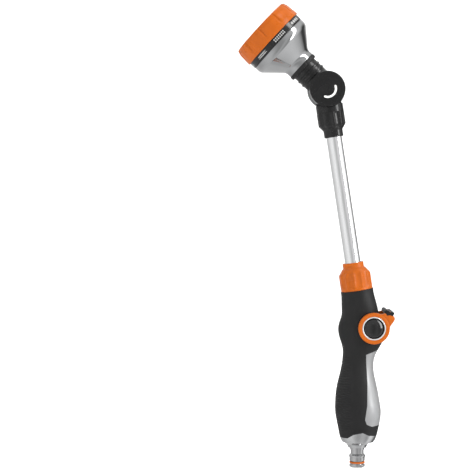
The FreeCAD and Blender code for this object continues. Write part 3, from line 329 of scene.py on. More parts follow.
# %% [markdown]
# # Finishes
# A moulded or plated surface is never one flat colour. Each finish here is built from the same few
# ideas: a Principled shader whose constants are set on its own sockets, a slow noise that shifts the
# colour a little, a second one that dulls and polishes patches as hands do, and a fine noise or a
# pattern that raises the surface. All of them read Object coordinates, which every piece shares,
# because every piece sits at the origin.

# %% The parts of a finish
def finish(name, colour, roughness, metallic=0.0, **sockets):
    """A Principled material with its constants set, and its Object coordinates ready to use."""
    material = bpy.data.materials.new(name)
    material.use_nodes = True
    shader = material.node_tree.nodes["Principled BSDF"]
    shader.inputs["Base Color"].default_value = (*colour, 1)
    shader.inputs["Roughness"].default_value = roughness
    shader.inputs["Metallic"].default_value = metallic
    for socket, value in sockets.items():
        shader.inputs[socket.replace("_", " ")].default_value = value
    material.diffuse_color = (*colour, 1)
    return material


def noise(material, scale, detail=3.0, stretch=(1, 1, 1), turn=0.0):
    """A noise texture's Fac output, on Object coordinates, stretched and turned about Y."""
    tree = material.node_tree
    coordinates = tree.nodes.new("ShaderNodeTexCoord")
    mapping = tree.nodes.new("ShaderNodeMapping")
    mapping.inputs["Rotation"].default_value = (0, turn, 0)
    mapping.inputs["Scale"].default_value = stretch
    texture = tree.nodes.new("ShaderNodeTexNoise")
    texture.inputs["Scale"].default_value = scale
    texture.inputs["Detail"].default_value = detail
    tree.links.new(coordinates.outputs["Object"], mapping.inputs["Vector"])
    tree.links.new(mapping.outputs["Vector"], texture.inputs["Vector"])
    return texture.outputs["Fac"]


def spread(material, source, low, high, start=0.3, end=0.7):
    """A value that runs from low to high as the source runs from start to end."""
    tree = material.node_tree
    ranged = tree.nodes.new("ShaderNodeMapRange")
    for socket, value in (("From Min", start), ("From Max", end), ("To Min", low), ("To Max", high)):
        ranged.inputs[socket].default_value = value
    tree.links.new(source, ranged.inputs["Value"])
    return ranged.outputs["Result"]


def tint(material, source, first, second):
    """Base colour between two colours, by a source from 0 to 1."""
    tree = material.node_tree
    mix = tree.nodes.new("ShaderNodeMix")
    mix.data_type = "RGBA"
    mix.inputs["A"].default_value = (*first, 1)
    mix.inputs["B"].default_value = (*second, 1)
    tree.links.new(source, mix.inputs["Factor"])
    tree.links.new(mix.outputs["Result"], tree.nodes["Principled BSDF"].inputs["Base Color"])


def polish(material, source):
    """Roughness from a source."""
    tree = material.node_tree
    tree.links.new(source, tree.nodes["Principled BSDF"].inputs["Roughness"])


def raise_by(material, source, height, strength=1.0):
    """Bump from a source, its height in millimetres. Calls add up."""
    tree = material.node_tree
    shader = tree.nodes["Principled BSDF"]
    bump = tree.nodes.new("ShaderNodeBump")
    bump.inputs["Strength"].default_value = strength
    bump.inputs["Distance"].default_value = height * MM
    tree.links.new(source, bump.inputs["Height"])
    earlier = shader.inputs["Normal"].links
    if earlier:
        tree.links.new(earlier[0].from_socket, bump.inputs["Normal"])
    tree.links.new(bump.outputs["Normal"], shader.inputs["Normal"])


# %% [markdown]
# Moulded plastic takes its surface from the steel mould. The orange parts were moulded against smooth
# steel and are satin; the black ones against spark-eroded steel, which leaves a fine even grain. Both
# have slow changes of gloss where the plastic flowed and cooled.

# %% Moulded plastics
def moulded(name, colour, roughness, grain, shade=0.82, **sockets):
    """Moulded plastic: the colour drifts a little, the gloss is uneven, and a fine grain covers it."""
    material = finish(name, colour, roughness, **sockets)
    drift = spread(material, noise(material, 38.0, 4.0), 0.0, 1.0)
    tint(material, drift, tuple(part * shade for part in colour), colour)
    polish(material, spread(material, noise(material, 90.0), roughness - 0.07, roughness + 0.07))
    raise_by(material, noise(material, 2600.0, 2.0), grain)
    return material


orange = moulded("orange plastic", (0.45, 0.094, 0.0035), 0.30, 0.006, 0.88, Specular_IOR_Level=0.22)
black = moulded("black plastic", (0.0115, 0.0115, 0.0118), 0.44, 0.022, Specular_IOR_Level=0.30)
inner_plastic = moulded("acetal", (0.52, 0.53, 0.53), 0.42, 0.006)
face_plastic = moulded("dark face plastic", (0.045, 0.045, 0.048), 0.34, 0.010)
hub_gloss = moulded("gloss black", (0.0025, 0.0025, 0.0027), 0.13, 0.001, Specular_IOR_Level=0.55)
pale = moulded("pale print", (0.80, 0.80, 0.78), 0.40, 0.004, 0.94)
band_print = moulded("grey print", (0.36, 0.36, 0.355), 0.40, 0.004, 0.9)
silver = moulded("silver paint", (0.30, 0.303, 0.307), 0.38, 0.010, 0.9, Metallic=0.4)
glossy_black = moulded("glossy black plastic", (0.006, 0.006, 0.0062), 0.24, 0.008, Specular_IOR_Level=0.4)
print("moulded finishes made")

# %% [markdown]
# The grip is a soft rubber moulded over the core. Where the palm lies it has fine cross ribs. They are
# shallow, about a third of a millimetre, so they can be raised by the finish: a saw of sines along the
# handle's height, faded out above and below and towards the front by the same kind of smooth ramps.

# %% Rubber with ribs on the palm side
RIB_PITCH, RIB_HEIGHT = 2.6, 0.3
GRIP_LOW, GRIP_HIGH, GRIP_RAMP = 0.040, 0.112, 0.004
PALM_FULL, PALM_NONE = -0.014, -0.006
rubber = moulded("grip rubber", (0.0105, 0.0105, 0.0108), 0.52, 0.018, 0.8, Specular_IOR_Level=0.28)


def axis_value(material, letter):
    """One of the Object coordinates."""
    tree = material.node_tree
    coordinates = tree.nodes.new("ShaderNodeTexCoord")
    split = tree.nodes.new("ShaderNodeSeparateXYZ")
    tree.links.new(coordinates.outputs["Object"], split.inputs[0])
    return split.outputs[letter]


weave = rubber.node_tree
height = axis_value(rubber, "Z")
rib_wave = combine(weave, "SINE", combine(weave, "MULTIPLY", height, 2 * math.pi / (RIB_PITCH * MM)), 0)
rib_span = combine(weave, "MULTIPLY",
                   spread(rubber, height, 0, 1, GRIP_LOW - GRIP_RAMP, GRIP_LOW + GRIP_RAMP),
                   spread(rubber, height, 1, 0, GRIP_HIGH - GRIP_RAMP, GRIP_HIGH + GRIP_RAMP))
rib_side = spread(rubber, axis_value(rubber, "X"), 1, 0, PALM_FULL, PALM_NONE)
ribs = combine(weave, "MULTIPLY", rib_wave, combine(weave, "MULTIPLY", rib_span, rib_side))
raise_by(rubber, ribs, RIB_HEIGHT)
black_seal = moulded("nitrile rubber", (0.012, 0.012, 0.012), 0.42, 0.004)
orange_seal = moulded("orange silicone", (0.50, 0.105, 0.004), 0.34, 0.003, 0.9,
                      Specular_IOR_Level=0.25)
print("ribs every", RIB_PITCH, "mm from", GRIP_LOW, "to", GRIP_HIGH, "m")

# %% [markdown]
# The metals differ by how they were made. The tube is drawn aluminium, so its faint lines run along it.
# The plug is turned and nickel plated, so its lines run round. The bell is plastic with a thin bright
# metal layer under lacquer: smooth, and a little wavy where the plastic shrank.

# %% Metals
bright_metal = finish("metallised bell", (0.38, 0.385, 0.39), 0.10, 1.0,
                      Coat_Weight=0.35, Coat_Roughness=0.05)
tint(bright_metal, spread(bright_metal, noise(bright_metal, 26.0), 0, 1),
     (0.35, 0.355, 0.36), (0.41, 0.415, 0.42))
polish(bright_metal, spread(bright_metal, noise(bright_metal, 70.0), 0.08, 0.13))
raise_by(bright_metal, noise(bright_metal, 34.0, 1.0), 0.05)
raise_by(bright_metal, noise(bright_metal, 2400.0, 2.0), 0.003)

drawn = finish("drawn aluminium", (0.86, 0.865, 0.87), 0.16, 1.0)
drawn_lines = noise(drawn, 900.0, 4.0, (1, 1, 0.004), LEAN)
tint(drawn, spread(drawn, drawn_lines, 0, 1), (0.80, 0.805, 0.81), (0.90, 0.905, 0.91))
polish(drawn, spread(drawn, drawn_lines, 0.12, 0.24))
raise_by(drawn, drawn_lines, 0.008)

nickel = finish("turned nickel plate", (0.45, 0.45, 0.455), 0.14, 1.0)
turned_lines = noise(nickel, 500.0, 4.0, (0.02, 0.02, 6))
tint(nickel, spread(nickel, turned_lines, 0, 1), (0.38, 0.38, 0.385), (0.52, 0.52, 0.525))
polish(nickel, spread(nickel, noise(nickel, 160.0), 0.10, 0.19))
raise_by(nickel, turned_lines, 0.010)

steel = finish("zinc plated steel", (0.58, 0.585, 0.60), 0.3, 1.0)
tint(steel, spread(steel, noise(steel, 220.0, 5.0), 0, 1), (0.50, 0.505, 0.52), (0.64, 0.645, 0.66))
polish(steel, spread(steel, noise(steel, 400.0), 0.22, 0.38))
raise_by(steel, noise(steel, 1800.0), 0.006)

bright_trim = finish("bright trim", (0.80, 0.805, 0.81), 0.2, 0.6)
tint(bright_trim, spread(bright_trim, noise(bright_trim, 120.0), 0, 1),
     (0.74, 0.745, 0.75), (0.83, 0.835, 0.84))
polish(bright_trim, spread(bright_trim, noise(bright_trim, 300.0), 0.12, 0.22))

satin_chrome = finish("satin chrome", (0.52, 0.525, 0.53), 0.2, 1.0)
tint(satin_chrome, spread(satin_chrome, noise(satin_chrome, 60.0), 0, 1),
     (0.47, 0.475, 0.48), (0.57, 0.575, 0.58))
polish(satin_chrome, spread(satin_chrome, noise(satin_chrome, 130.0), 0.17, 0.27))
raise_by(satin_chrome, noise(satin_chrome, 1500.0), 0.005)
print("six metals made")

# %% [markdown]
# The record says which finish each part takes. A part whose shape is already right keeps its mesh and
# only gets a better material in its slots. Two parts differ from the others in their slot: the foot cap
# is satin chrome rather than silver paint, and the elbow's lower half is as glossy as its upper half.

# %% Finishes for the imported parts
FINISHES = {
    "orange": orange, "black_plastic": black, "inner_plastic": inner_plastic, "face_plastic": face_plastic,
    "grip_rubber": rubber, "hub_gloss": hub_gloss, "silver_plastic": silver, "bright_metal": bright_metal,
    "tube_aluminium": drawn, "plug_metal": nickel, "steel": steel, "orange_seal": orange_seal,
    "black_seal": black_seal, "pale_mark": pale,
}
OTHER_FINISHES = {"end_cap": satin_chrome, "elbow_base": glossy_black}
for entry in frame["record"]["subparts"]:
    part = nodes[entry["node"]]
    for slot in part.material_slots:
        slot.material = OTHER_FINISHES.get(entry["node"], FINISHES[entry["material_slot"]])

# %% [markdown]
# # The head
# The bell is a bright plated shell that widens from a narrow neck to the turning front. Its section is
# one closed loop: up the outside, round the rim, back down the inside. Carrying a loop round the axis
# gives a shell with real thickness and no seams.

# %% Bell and collar
BELL_START, CONE_START, CONE_END, BELL_END = 35.6, 42.0, 61.5, 68.2
NECK_RADIUS, BELL_RADIUS, BELL_WALL = 16.3, 34.1, 1.6
ARM_END, SPIGOT_RADIUS, COLLAR_RADIUS = 31.3, 11.0, 16.75

bell_loop = rounded([
    (NECK_RADIUS, BELL_START, 0.5), (NECK_RADIUS, CONE_START, 2.6), (BELL_RADIUS, CONE_END, 7.5),
    (BELL_RADIUS, BELL_END, 0.5), (BELL_RADIUS - BELL_WALL, BELL_END, 0.4),
    (BELL_RADIUS - BELL_WALL, CONE_END + 0.6, 7.0), (NECK_RADIUS - 2, CONE_START + 1.2, 2.0),
    (NECK_RADIUS - 2, BELL_START + 6.2, 0.2), (SPIGOT_RADIUS + 0.1, BELL_START + 6.2, 0.2),
    (SPIGOT_RADIUS + 0.1, BELL_START, 0.2),
], closed=True, steps=11)
make_piece("bell", [turned(bell_loop, HEAD, rings=160)], bright_metal, "head", ["head_bell"], wrap=True)


NOTCHES, NOTCH_WIDTH, NOTCH_DEPTH = 24, 0.55, 0.35


def collar_teeth(angle, radius, height):
    """Shallow notches round the collar's rim: depth * exp(-(distance / width)^2) on its outer face."""
    notch = np.exp(-(from_nearest(angle, NOTCHES) * COLLAR_RADIUS / NOTCH_WIDTH) ** 2)
    return -NOTCH_DEPTH * notch * fade(radius, COLLAR_RADIUS - 0.9, COLLAR_RADIUS - 0.1)


collar_loop = rounded([
    (SPIGOT_RADIUS, ARM_END, 0.2), (COLLAR_RADIUS - 0.9, ARM_END, 0.3), (COLLAR_RADIUS, ARM_END + 0.9, 0.4),
    (COLLAR_RADIUS, BELL_START - 0.6, 0.4), (COLLAR_RADIUS - 0.5, BELL_START, 0.2),
    (SPIGOT_RADIUS, BELL_START, 0.2),
], closed=True)
make_piece("collar", [turned(collar_loop, HEAD, collar_teeth, 240)], black, "head",
           ["head_collar"], wrap=True)

# %% [markdown]
# The orange ring is what the hand turns to choose a pattern. Its side has ten broad, nearly flat faces
# with a soft groove where two of them meet. Both come from one relief: how far an angle is from the
# nearest groove gives the groove's depth, and a gentle arch between grooves gives the faces. The relief
# fades out towards the back edge, which is plainly round so that it meets the black band.

# %% Band and bezel
BAND_START, BAND_END, BAND_RADIUS = 68.5, 75.1, 34.4
BEZEL_RADIUS, BEZEL_END, BEZEL_INSIDE, LIP_RADIUS = 35.9, 93.6, 30.5, 28.3
FACES, FIRST_CORNER = 10, math.radians(9)
CORNER_DEPTH, CORNER_WIDTH = 1.05, 1.0
LEDGE_DEPTH, LEDGE_WIDTH = 0.6, 5.0
ARCH = 0.55

band_black = moulded("band black", (0.008, 0.008, 0.0085), 0.2, 0.003, Specular_IOR_Level=0.45)
band_loop = rounded([
    (BEZEL_INSIDE, BAND_START, 0.2), (BAND_RADIUS, BAND_START, 0.5), (BAND_RADIUS, BAND_END, 0.3),
    (BEZEL_INSIDE, BAND_END, 0.2),
], closed=True)
make_piece("band", [turned(band_loop, HEAD, rings=160)], band_black, "front", ["pattern_band"], wrap=True)


def bezel_relief(angle, radius, height):
    """Grooves exp(-(distance / width)^2) at the corners of a ten-sided ring, and flatter faces between."""
    gap = from_nearest(angle, FACES, FIRST_CORNER)
    corner = CORNER_DEPTH * np.exp(-(gap * BEZEL_RADIUS / CORNER_WIDTH) ** 2)
    ledge = LEDGE_DEPTH * np.exp(-np.abs(gap * BEZEL_RADIUS) / LEDGE_WIDTH) * (gap > 0)
    arch = ARCH * (1 - (gap / (np.pi / FACES)) ** 2)
    along = fade(height, BAND_END + 3.5, BAND_END + 9.0)
    return -(corner + ledge + ARCH - arch) * (along * fade(radius, BEZEL_INSIDE + 0.5, BEZEL_RADIUS - 2.5))


bezel_loop = rounded([
    (BEZEL_INSIDE, BAND_END, 0.2), (BEZEL_RADIUS, BAND_END, 0.9), (BEZEL_RADIUS, BAND_END + 2.4, 1.2),
    (BEZEL_RADIUS - 1.7, BEZEL_END, 5.4), (LIP_RADIUS, BEZEL_END, 1.0),
    (LIP_RADIUS, BEZEL_END - 3.6, 0.3), (BEZEL_INSIDE, BEZEL_END - 3.6, 0.3),
], closed=True, steps=9)
side_height = np.linspace(BAND_END + 3.9, BEZEL_END - 5.0, 22)
side_radius = BEZEL_RADIUS - 0.9 * (side_height - BAND_END - 2.4) / (BEZEL_END - BAND_END - 2.4)
cut_at = np.argmax(bezel_loop[:, 1] > side_height[0])
bezel_loop = np.insert(bezel_loop, cut_at, np.stack([side_radius, side_height], axis=1), axis=0)
make_piece("bezel_ring", [turned(bezel_loop, HEAD, bezel_relief, 600)], orange, "front", ["bezel"], wrap=True)

# %% [markdown]
# The real band names its patterns in words. Words belong to a maker, so here each pattern gets a plain
# picture of its water drops instead: grids, bunches and lines of round dots and lying dashes. Every mark
# is a superellipse, a shape between an ellipse and a box, wrapped on to the band and raised by a hair.

# %% Pattern symbols on the band
MARK_MIDDLE = (BAND_START + BAND_END) / 2
PICTURES, FIRST_PICTURE = 8, math.radians(7)
BOXINESS = 2.4
DASH_PITCH, DASH_HALF_HIGH = 1.7, 0.5
OUTLINE_TURN = np.linspace(0, 2 * np.pi, 20, endpoint=False)


def stamp(angle, along, up, half_long, half_high, proud=0.12):
    """A raised mark on the band, |x/a|^2.4 + |y/b|^2.4 = 1, bent round the head's axis."""
    origin, side, across, axis = HEAD
    cosine, sine = np.cos(OUTLINE_TURN), np.sin(OUTLINE_TURN)
    x = half_long * np.sign(cosine) * np.abs(cosine) ** (2 / BOXINESS)
    y = half_high * np.sign(sine) * np.abs(sine) ** (2 / BOXINESS)
    size = np.array([1.0, 1.0, 0.93, 0.5])[None, :]
    depth = np.array([-0.1, proud - 0.04, proud, proud])[None, :] + BAND_RADIUS
    spin = angle + (along + x[:, None] * size) / BAND_RADIUS
    spoke = np.cos(spin)[..., None] * side + np.sin(spin)[..., None] * across
    return origin + depth[..., None] * spoke + (MARK_MIDDLE + up + y[:, None] * size)[..., None] * axis


def dots(angle, columns, rows, pitch, radius, stagger=0.0):
    """A grid of round dots. Odd columns are moved up by the stagger."""
    places = [(column, row) for column in range(columns) for row in range(rows)]
    return [stamp(angle, (column - (columns - 1) / 2) * pitch,
                  (row - (rows - 1) / 2) * pitch + (column % 2 - 0.5) * stagger, radius, radius)
            for column, row in places]


def dashes(angle, rows, half_long):
    """Lying dashes, one above the other."""
    return [stamp(angle, 0, (row - (rows - 1) / 2) * DASH_PITCH, half_long, DASH_HALF_HIGH)
            for row in range(rows)]


def picture(number, angle):
    """The picture of one pattern: a shower, mist, a flat fan, drops, a jet, and so on."""
    around = [stamp(angle, math.cos(turn) * 4.4, math.sin(turn) * 1.6, 0.5, 0.5)
              for turn in np.arange(8) * math.pi / 4]
    pictures = [
        dots(angle, 9, 3, 1.6, 0.52), dots(angle, 9, 2, 1.75, 0.68, 1.0), dashes(angle, 3, 6.4),
        dots(angle, 5, 1, 3.1, 1.3), around + [stamp(angle, 0, 0, 2.2, 0.8)],
        dashes(angle, 2, 7.0), dots(angle, 7, 2, 2.2, 0.8), dots(angle, 4, 1, 3.9, 1.6),
    ]
    return pictures[number]


symbols = [grid for number in range(PICTURES)
           for grid in picture(number, number * 2 * math.pi / PICTURES + FIRST_PICTURE)]
make_piece("band_symbols", symbols, band_print, "front", ["pattern_marks"])

# %% [markdown]
# # The elbow
# The elbow is two halves side by side on one cross axis. The near half, a thick disc and a ribbed neck,
# moves with the head. Its neck has to leave room for the other half, a cheek that is round about the
# same cross axis, so the neck's lower edge is a saddle: each point is lifted until it is just outside
# that cheek. For a point s to the side of the neck's axis, that height is the square root of
# (cheek radius squared minus s squared).

# %% Near disc and ribbed neck
DISC_RADIUS, DISC_OUT, ARM_RADIUS, RIB_OUT = 18.35, 17.0, 14.2, 0.8
DISC_FACE = DISC_OUT - 0.12
CHEEK_CLEAR = 17.5
PIVOT_NEAR = (pivot, X, Z, -Y)

disc_loop = rounded([
    (6.7, 0.2, 0.2), (DISC_RADIUS, 0.2, 0.4), (DISC_RADIUS, DISC_OUT, 1.1),
    (DISC_RADIUS - 2.2, DISC_OUT, 0.4), (DISC_RADIUS - 2.6, DISC_FACE, 0.3), (5.2, DISC_FACE, 0.3),
    (5.2, 9.0, 0.2), (6.7, 9.0, 0.2),
], closed=True)
lid = rounded([(0.02, DISC_OUT - 1.6, 0), (5.3, DISC_OUT - 1.6, 0.2), (5.3, DISC_FACE, 0.1),
               (0.02, DISC_FACE, 0)])


def saddle(grid):
    """Lifts points clear of the cheek: height = max(height, sqrt(C^2 - s^2)), s to the axis's side."""
    origin, side, _, axis = HEAD
    offset = grid - origin
    height = offset @ axis
    lowest = np.sqrt(CHEEK_CLEAR ** 2 - np.minimum(np.abs(offset @ side), CHEEK_CLEAR - 1) ** 2)
    return grid + np.maximum(lowest - height, 0)[..., None] * axis


rib_places = ARM_END - np.array([11.2, 5.8])
neck_corners = [(0.02, 9, 0), (6, 9, 0.2), (12.5, 9, 0.2), (ARM_RADIUS, 9, 0.2),
                (ARM_RADIUS, rib_places[0] - 1.9, 0.4)]
for rib in rib_places:
    neck_corners += [(ARM_RADIUS, rib - 1.3, 0.3), (ARM_RADIUS + RIB_OUT, rib - 0.9, 0.3),
                     (ARM_RADIUS + RIB_OUT, rib + 0.9, 0.3), (ARM_RADIUS, rib + 1.3, 0.3)]
neck_corners += [(ARM_RADIUS, ARM_END, 0.2), (SPIGOT_RADIUS, ARM_END, 0.2), (SPIGOT_RADIUS, 40.5, 0.4),
                 (4.0, 40.5, 0.3), (4.0, 24.0, 0.3), (0.02, 24.0, 0)]
neck = saddle(turned(rounded(neck_corners), HEAD, rings=144))
make_piece("elbow_near_half", [neck, turned(lid, PIVOT_NEAR)], glossy_black, "head")
make_piece("elbow_near_disc", [turned(disc_loop, PIVOT_NEAR, rings=160)], glossy_black, "head",
           ["elbow_arm"], wrap=True)

# %% [markdown]
# # The nuts
# Both nuts on the tube are the same idea: a gripping body with broad hollow flutes, a cone and a short
# sleeve. A flute is a shallow scoop, deepest in its middle, and it runs out before the body's ends, so
# the scoop's depth is multiplied by a smooth ramp at each end.

# %% Handle nut and elbow nut
def flutes(count, depth, width, low, high, edge):
    """A relief of scoops, depth * (1 - (distance / half width)^2), between two heights."""
    def relief(angle, radius, height):
        gap = np.abs(from_nearest(angle, count, math.radians(7))) * radius / (width / 2)
        scoop = np.clip(1 - gap ** 2, 0, 1) ** 0.8
        along = fade(height, low, low + edge) * fade(-height, -high, -high + edge)
        return -depth * scoop * along * fade(radius, 10.5, 12.5)
    return relief


def fill(loop, pieces=14):
    """The same loop with each long straight stretch cut into even steps, so that reliefs can bend it."""
    after = np.roll(loop, -1, axis=0)
    long = np.linalg.norm(after - loop, axis=1) > 2.0
    share = np.linspace(0, 1, pieces, endpoint=False)[None, :, None]
    cut = loop[:, None] * (1 - share) + after[:, None] * share
    keep = np.zeros((len(loop), pieces), bool)
    keep[:, 0] = True
    keep[long] = True
    return cut[keep]


handle_nut_loop = fill(rounded([
    (13.3, 0.1, 0.3), (16.3, 0.1, 0.5), (16.3, 16.7, 1.5), (12.0, 22.7, 0.8), (10.8, 23.5, 0.5),
    (10.8, 28.7, 0.6), (8.15, 28.7, 0.3), (8.15, 22.0, 0.2), (13.3, 15.2, 0.2),
], closed=True))
make_piece("fluted_handle_nut", [turned(handle_nut_loop, TUBE, flutes(12, 1.2, 7.0, 1.0, 21.5, 4.5), 360)],
           orange, "root", ["handle_nut"], wrap=True)

elbow_nut_loop = fill(rounded([
    (8.15, 159.2, 0.3), (9.9, 159.2, 0.5), (9.9, 166.4, 0.7), (14.1, 171.7, 1.2), (14.1, 185.2, 0.4),
    (12.3, 185.2, 0.2), (12.3, 173.6, 0.2), (8.15, 167.5, 0.2),
], closed=True))
make_piece("fluted_elbow_nut", [turned(elbow_nut_loop, TUBE, flutes(10, 1.3, 7.2, 166.9, 186.0, 3.0), 320)],
           glossy_black, "root", ["elbow_nut"], wrap=True)

# %% [markdown]
# # The lever
# The lever is a ringed plate on each side of the handle with a lobe that carries the thumb pad. The ring
# is round and the lobe is not, so the plate's edge is one radius that changes with the angle: a few
# (angle, radius) pairs, joined by a smooth curve. Between the plates the same lobe runs across as a bar.

# %% The lever's edge as a radius that changes with the angle
RING_RADIUS, RECESS_RADIUS, BAR_RADIUS = 16.1, 12.0, 18.9
PLATE_IN, PLATE_OUT, WEB_OUT = 17.5, 21.6, 19.4
LOBE = np.array([
    (2, 16.1), (9, 16.9), (14, 18.6), (19, 21.0), (24, 23.3), (29, 23.9), (34, 23.6), (39, 23.4), (43, 24.0),
    (47, 23.9), (51, 21.6), (55, 19.0), (60, 17.1), (66, 16.1),
])


def lobe_radius(angle):
    """Straight runs between the pairs, then averaged over five neighbours to smooth them."""
    fine = np.radians(np.arange(-30, 121, 1.0))
    radius = np.interp(fine, np.radians(LOBE[:, 0]), LOBE[:, 1])
    soft = np.convolve(np.pad(radius, 2, mode="edge"), np.ones(5) / 5, mode="valid")
    return np.interp((angle + np.pi) % (2 * np.pi) - np.pi, fine, soft, left=RING_RADIUS, right=RING_RADIUS)


def plate_relief(angle, radius, height):
    """Share * (lobe radius - ring radius): 0 at the recess and 1 at the rim, which follows the lobe."""
    share = np.clip((radius - RECESS_RADIUS) / (RING_RADIUS - RECESS_RADIUS), 0, 1)
    return share * (lobe_radius(angle) - RING_RADIUS)


print("the lobe stands", round(float(LOBE[:, 1].max()) - RING_RADIUS, 1), "mm past the ring")

# %% [markdown]
# Each plate is its own profile, carried round the valve's axis and stretched out to the lobe. Its outer
# face has two details that catch the light: a shallow groove, where the ring runs on under the lobe, and
# a dip across the lobe's upper corner, where the pad's side meets it. Both are bells exp(-(distance /
# width)^2) that push the finished grid in, so the face first gets enough points for them to bend.

# %% The lever's plates
plate_loop = rounded([
    (4.7, PLATE_IN, 0.1), (RING_RADIUS, PLATE_IN, 0.3), (RING_RADIUS, PLATE_OUT, 1.3),
    (RECESS_RADIUS + 0.1, PLATE_OUT - 0.25, 0.5), (RECESS_RADIUS + 0.05, WEB_OUT, 0.1), (4.7, WEB_OUT, 0.1),
], closed=True, steps=7)


def mirrored(grid):
    """The same grid on the far side of the handle. Its faces are turned back when it becomes a mesh."""
    return grid * np.array([1, -1, 1])


GROOVE_RADIUS, GROOVE_WIDTH, GROOVE_DEPTH = 15.9, 0.7, 0.55
DIP_BEARING, DIP_WIDTH, DIP_DEPTH = math.radians(47), 0.07, 0.5
FACE_POINTS = 18

face_radius = np.linspace(RING_RADIUS - 1.5, RECESS_RADIUS + 0.8, FACE_POINTS)
face_height = np.interp(face_radius, [RECESS_RADIUS + 0.1, RING_RADIUS], [PLATE_OUT - 0.25, PLATE_OUT])
on_rim = (plate_loop[:, 0] > RING_RADIUS - 1.45) & (plate_loop[:, 1] > WEB_OUT)
plate_face = np.stack([face_radius, face_height], axis=1)
plate_loop = np.insert(plate_loop, np.flatnonzero(on_rim)[-1] + 1, plate_face, axis=0)
near_plate = turned(plate_loop, VALVE_NEAR, plate_relief, 240)

sideways, upward = near_plate[..., 0] - valve[0], near_plate[..., 2] - valve[2]
reach_out, bearing = np.hypot(sideways, upward), np.arctan2(upward, sideways)
lobe_start = fade(bearing, math.radians(4), math.radians(14))
lobe_end = 1 - fade(bearing, math.radians(58), math.radians(68))
groove = GROOVE_DEPTH * (lobe_start * lobe_end) * np.exp(-((reach_out - GROOVE_RADIUS) / GROOVE_WIDTH) ** 2)
dip = DIP_DEPTH * np.exp(-((bearing - DIP_BEARING) / DIP_WIDTH) ** 2) * fade(reach_out, 16.2, 17.2)
outer_face = near_plate[..., 1] < -PLATE_OUT + 0.6
near_plate[..., 1] += outer_face * (groove + dip)
make_piece("lever_plates", [near_plate, mirrored(near_plate)], orange, "lever", ["lever_yoke"], wrap=True)

# %% [markdown]
# The bar that joins the plates is a flat strip bent round the valve's axis. Its inner side keeps one
# radius and its outer side follows the lobe, then drops to a thin strip under the pad.

# %% The lever's bar
def swept(loop, along, path):
    """A closed (radius, y) loop carried through angles about the valve's axis.

    Outside the bar's radius B the radius becomes B + (radius - B) * (path(angle) - B).
    """
    angle = along[None, :]
    drawn_radius = loop[:, 0][:, None]
    radius = BAR_RADIUS + (drawn_radius - BAR_RADIUS) * (path(along)[None, :] - BAR_RADIUS)
    radius = np.where(drawn_radius <= BAR_RADIUS, drawn_radius, radius)
    spoke = np.cos(angle)[..., None] * X + np.sin(angle)[..., None] * Z
    return valve + radius[..., None] * spoke + loop[:, 1][:, None, None] * Y


def bar_top(angle):
    """The lobe's rim as far as the pad's lower end, then the thin bar under the pad."""
    share = fade(angle, math.radians(29), math.radians(34))
    return lobe_radius(angle) * (1 - share) + (BAR_RADIUS + 1.2) * share


bar_loop = rounded([
    (BAR_RADIUS, -PLATE_IN - 0.5, 0.1), (BAR_RADIUS + 1, -PLATE_IN - 0.5, 0.1),
    (BAR_RADIUS + 1, PLATE_IN + 0.5, 0.1), (BAR_RADIUS, PLATE_IN + 0.5, 0.1),
], closed=True)
make_piece("lever_bar", [swept(bar_loop, np.radians(np.linspace(15.5, 54, 60)), bar_top)], orange, "lever")

# %% [markdown]
# The pad is a soft dark saddle: low in the middle, where the thumb lies, and raised at its lower end so
# that the thumb doesn't slip off. Its side outline is drawn once, rounded, and carried across the
# handle. Near each end the outline shrinks a little along a quarter circle, which rounds the end faces.

# %% Thumb pad
pad_rubber = moulded("pad rubber", (0.010, 0.010, 0.0104), 0.5, 0.02, 0.8, Specular_IOR_Level=0.25)
PAD_END = 21.45
pad_outline = BAR_RADIUS * rounded([
    (0.69, 0.70, 0.02), (1.00, 0.66, 0.03), (1.075, 0.77, 0.04), (1.08, 0.86, 0.035), (1.02, 0.905, 0.03),
    (0.96, 0.9, 0.03), (0.88, 0.88, 0.05), (0.79, 0.95, 0.04), (0.72, 1.0, 0.03), (0.645, 1.0, 0.03),
    (0.58, 0.93, 0.03), (0.56, 0.865, 0.03),
], closed=True, steps=6)


def spanned(outline, end, edge, steps):
    """An outline in X and Z carried from -end to end along Y, its ends rounded by a quarter circle.

    In the last stretch, at a turn t of the quarter circle, y is edge * (1 - cos t) from the end and the
    outline is drawn in towards its centre by edge * (1 - sin t).
    """
    turn = np.linspace(0, np.pi / 2, 6)
    inset, drawn_in = edge * (1 - np.cos(turn)), edge * (1 - np.sin(turn))
    straight = np.linspace(-end + edge, end - edge, steps)[1:-1]
    y = np.concatenate([-end + inset, straight, (end - inset)[::-1]])
    shrink = np.concatenate([drawn_in, np.zeros(steps - 2), drawn_in[::-1]])
    centre = outline.mean(axis=0)
    spoke = outline - centre
    length = np.linalg.norm(spoke, axis=1)[:, None]
    scaled = centre + spoke[:, None] * (1 - shrink[None, :] / length)[..., None]
    grid = np.empty((len(outline), len(y), 3))
    grid[..., 0] = scaled[..., 0] + valve[0]
    grid[..., 1] = y[None, :]
    grid[..., 2] = scaled[..., 1] + valve[2]
    return grid


make_piece("thumb_saddle", [spanned(pad_outline, PAD_END, 0.9, 40)], pad_rubber, "lever", ["thumb_pad"])

# %% [markdown]
# The hub caps are glossy domes, each a slice of a ball sunk in a bright ring. A ball turns steadily
# away from the eye, so a tall lamp at the side shows on it as a long crescent.

# %% Hub caps and trim rings
CAP_RADIUS, CAP_WALL, BALL_RADIUS = 10.6, 1.1, 14.8
SEAT, RIM, RING_TOP = 19.4, 19.45, 21.5
POLE = 0.002


def dome_height(radius, drop=0.0):
    """Part of a ball: the rim's height plus sqrt(B^2 - r^2) - sqrt(B^2 - R^2)."""
    rim_depth = math.sqrt(BALL_RADIUS ** 2 - CAP_RADIUS ** 2)
    return RIM - drop + np.sqrt(BALL_RADIUS ** 2 - radius ** 2) - rim_depth


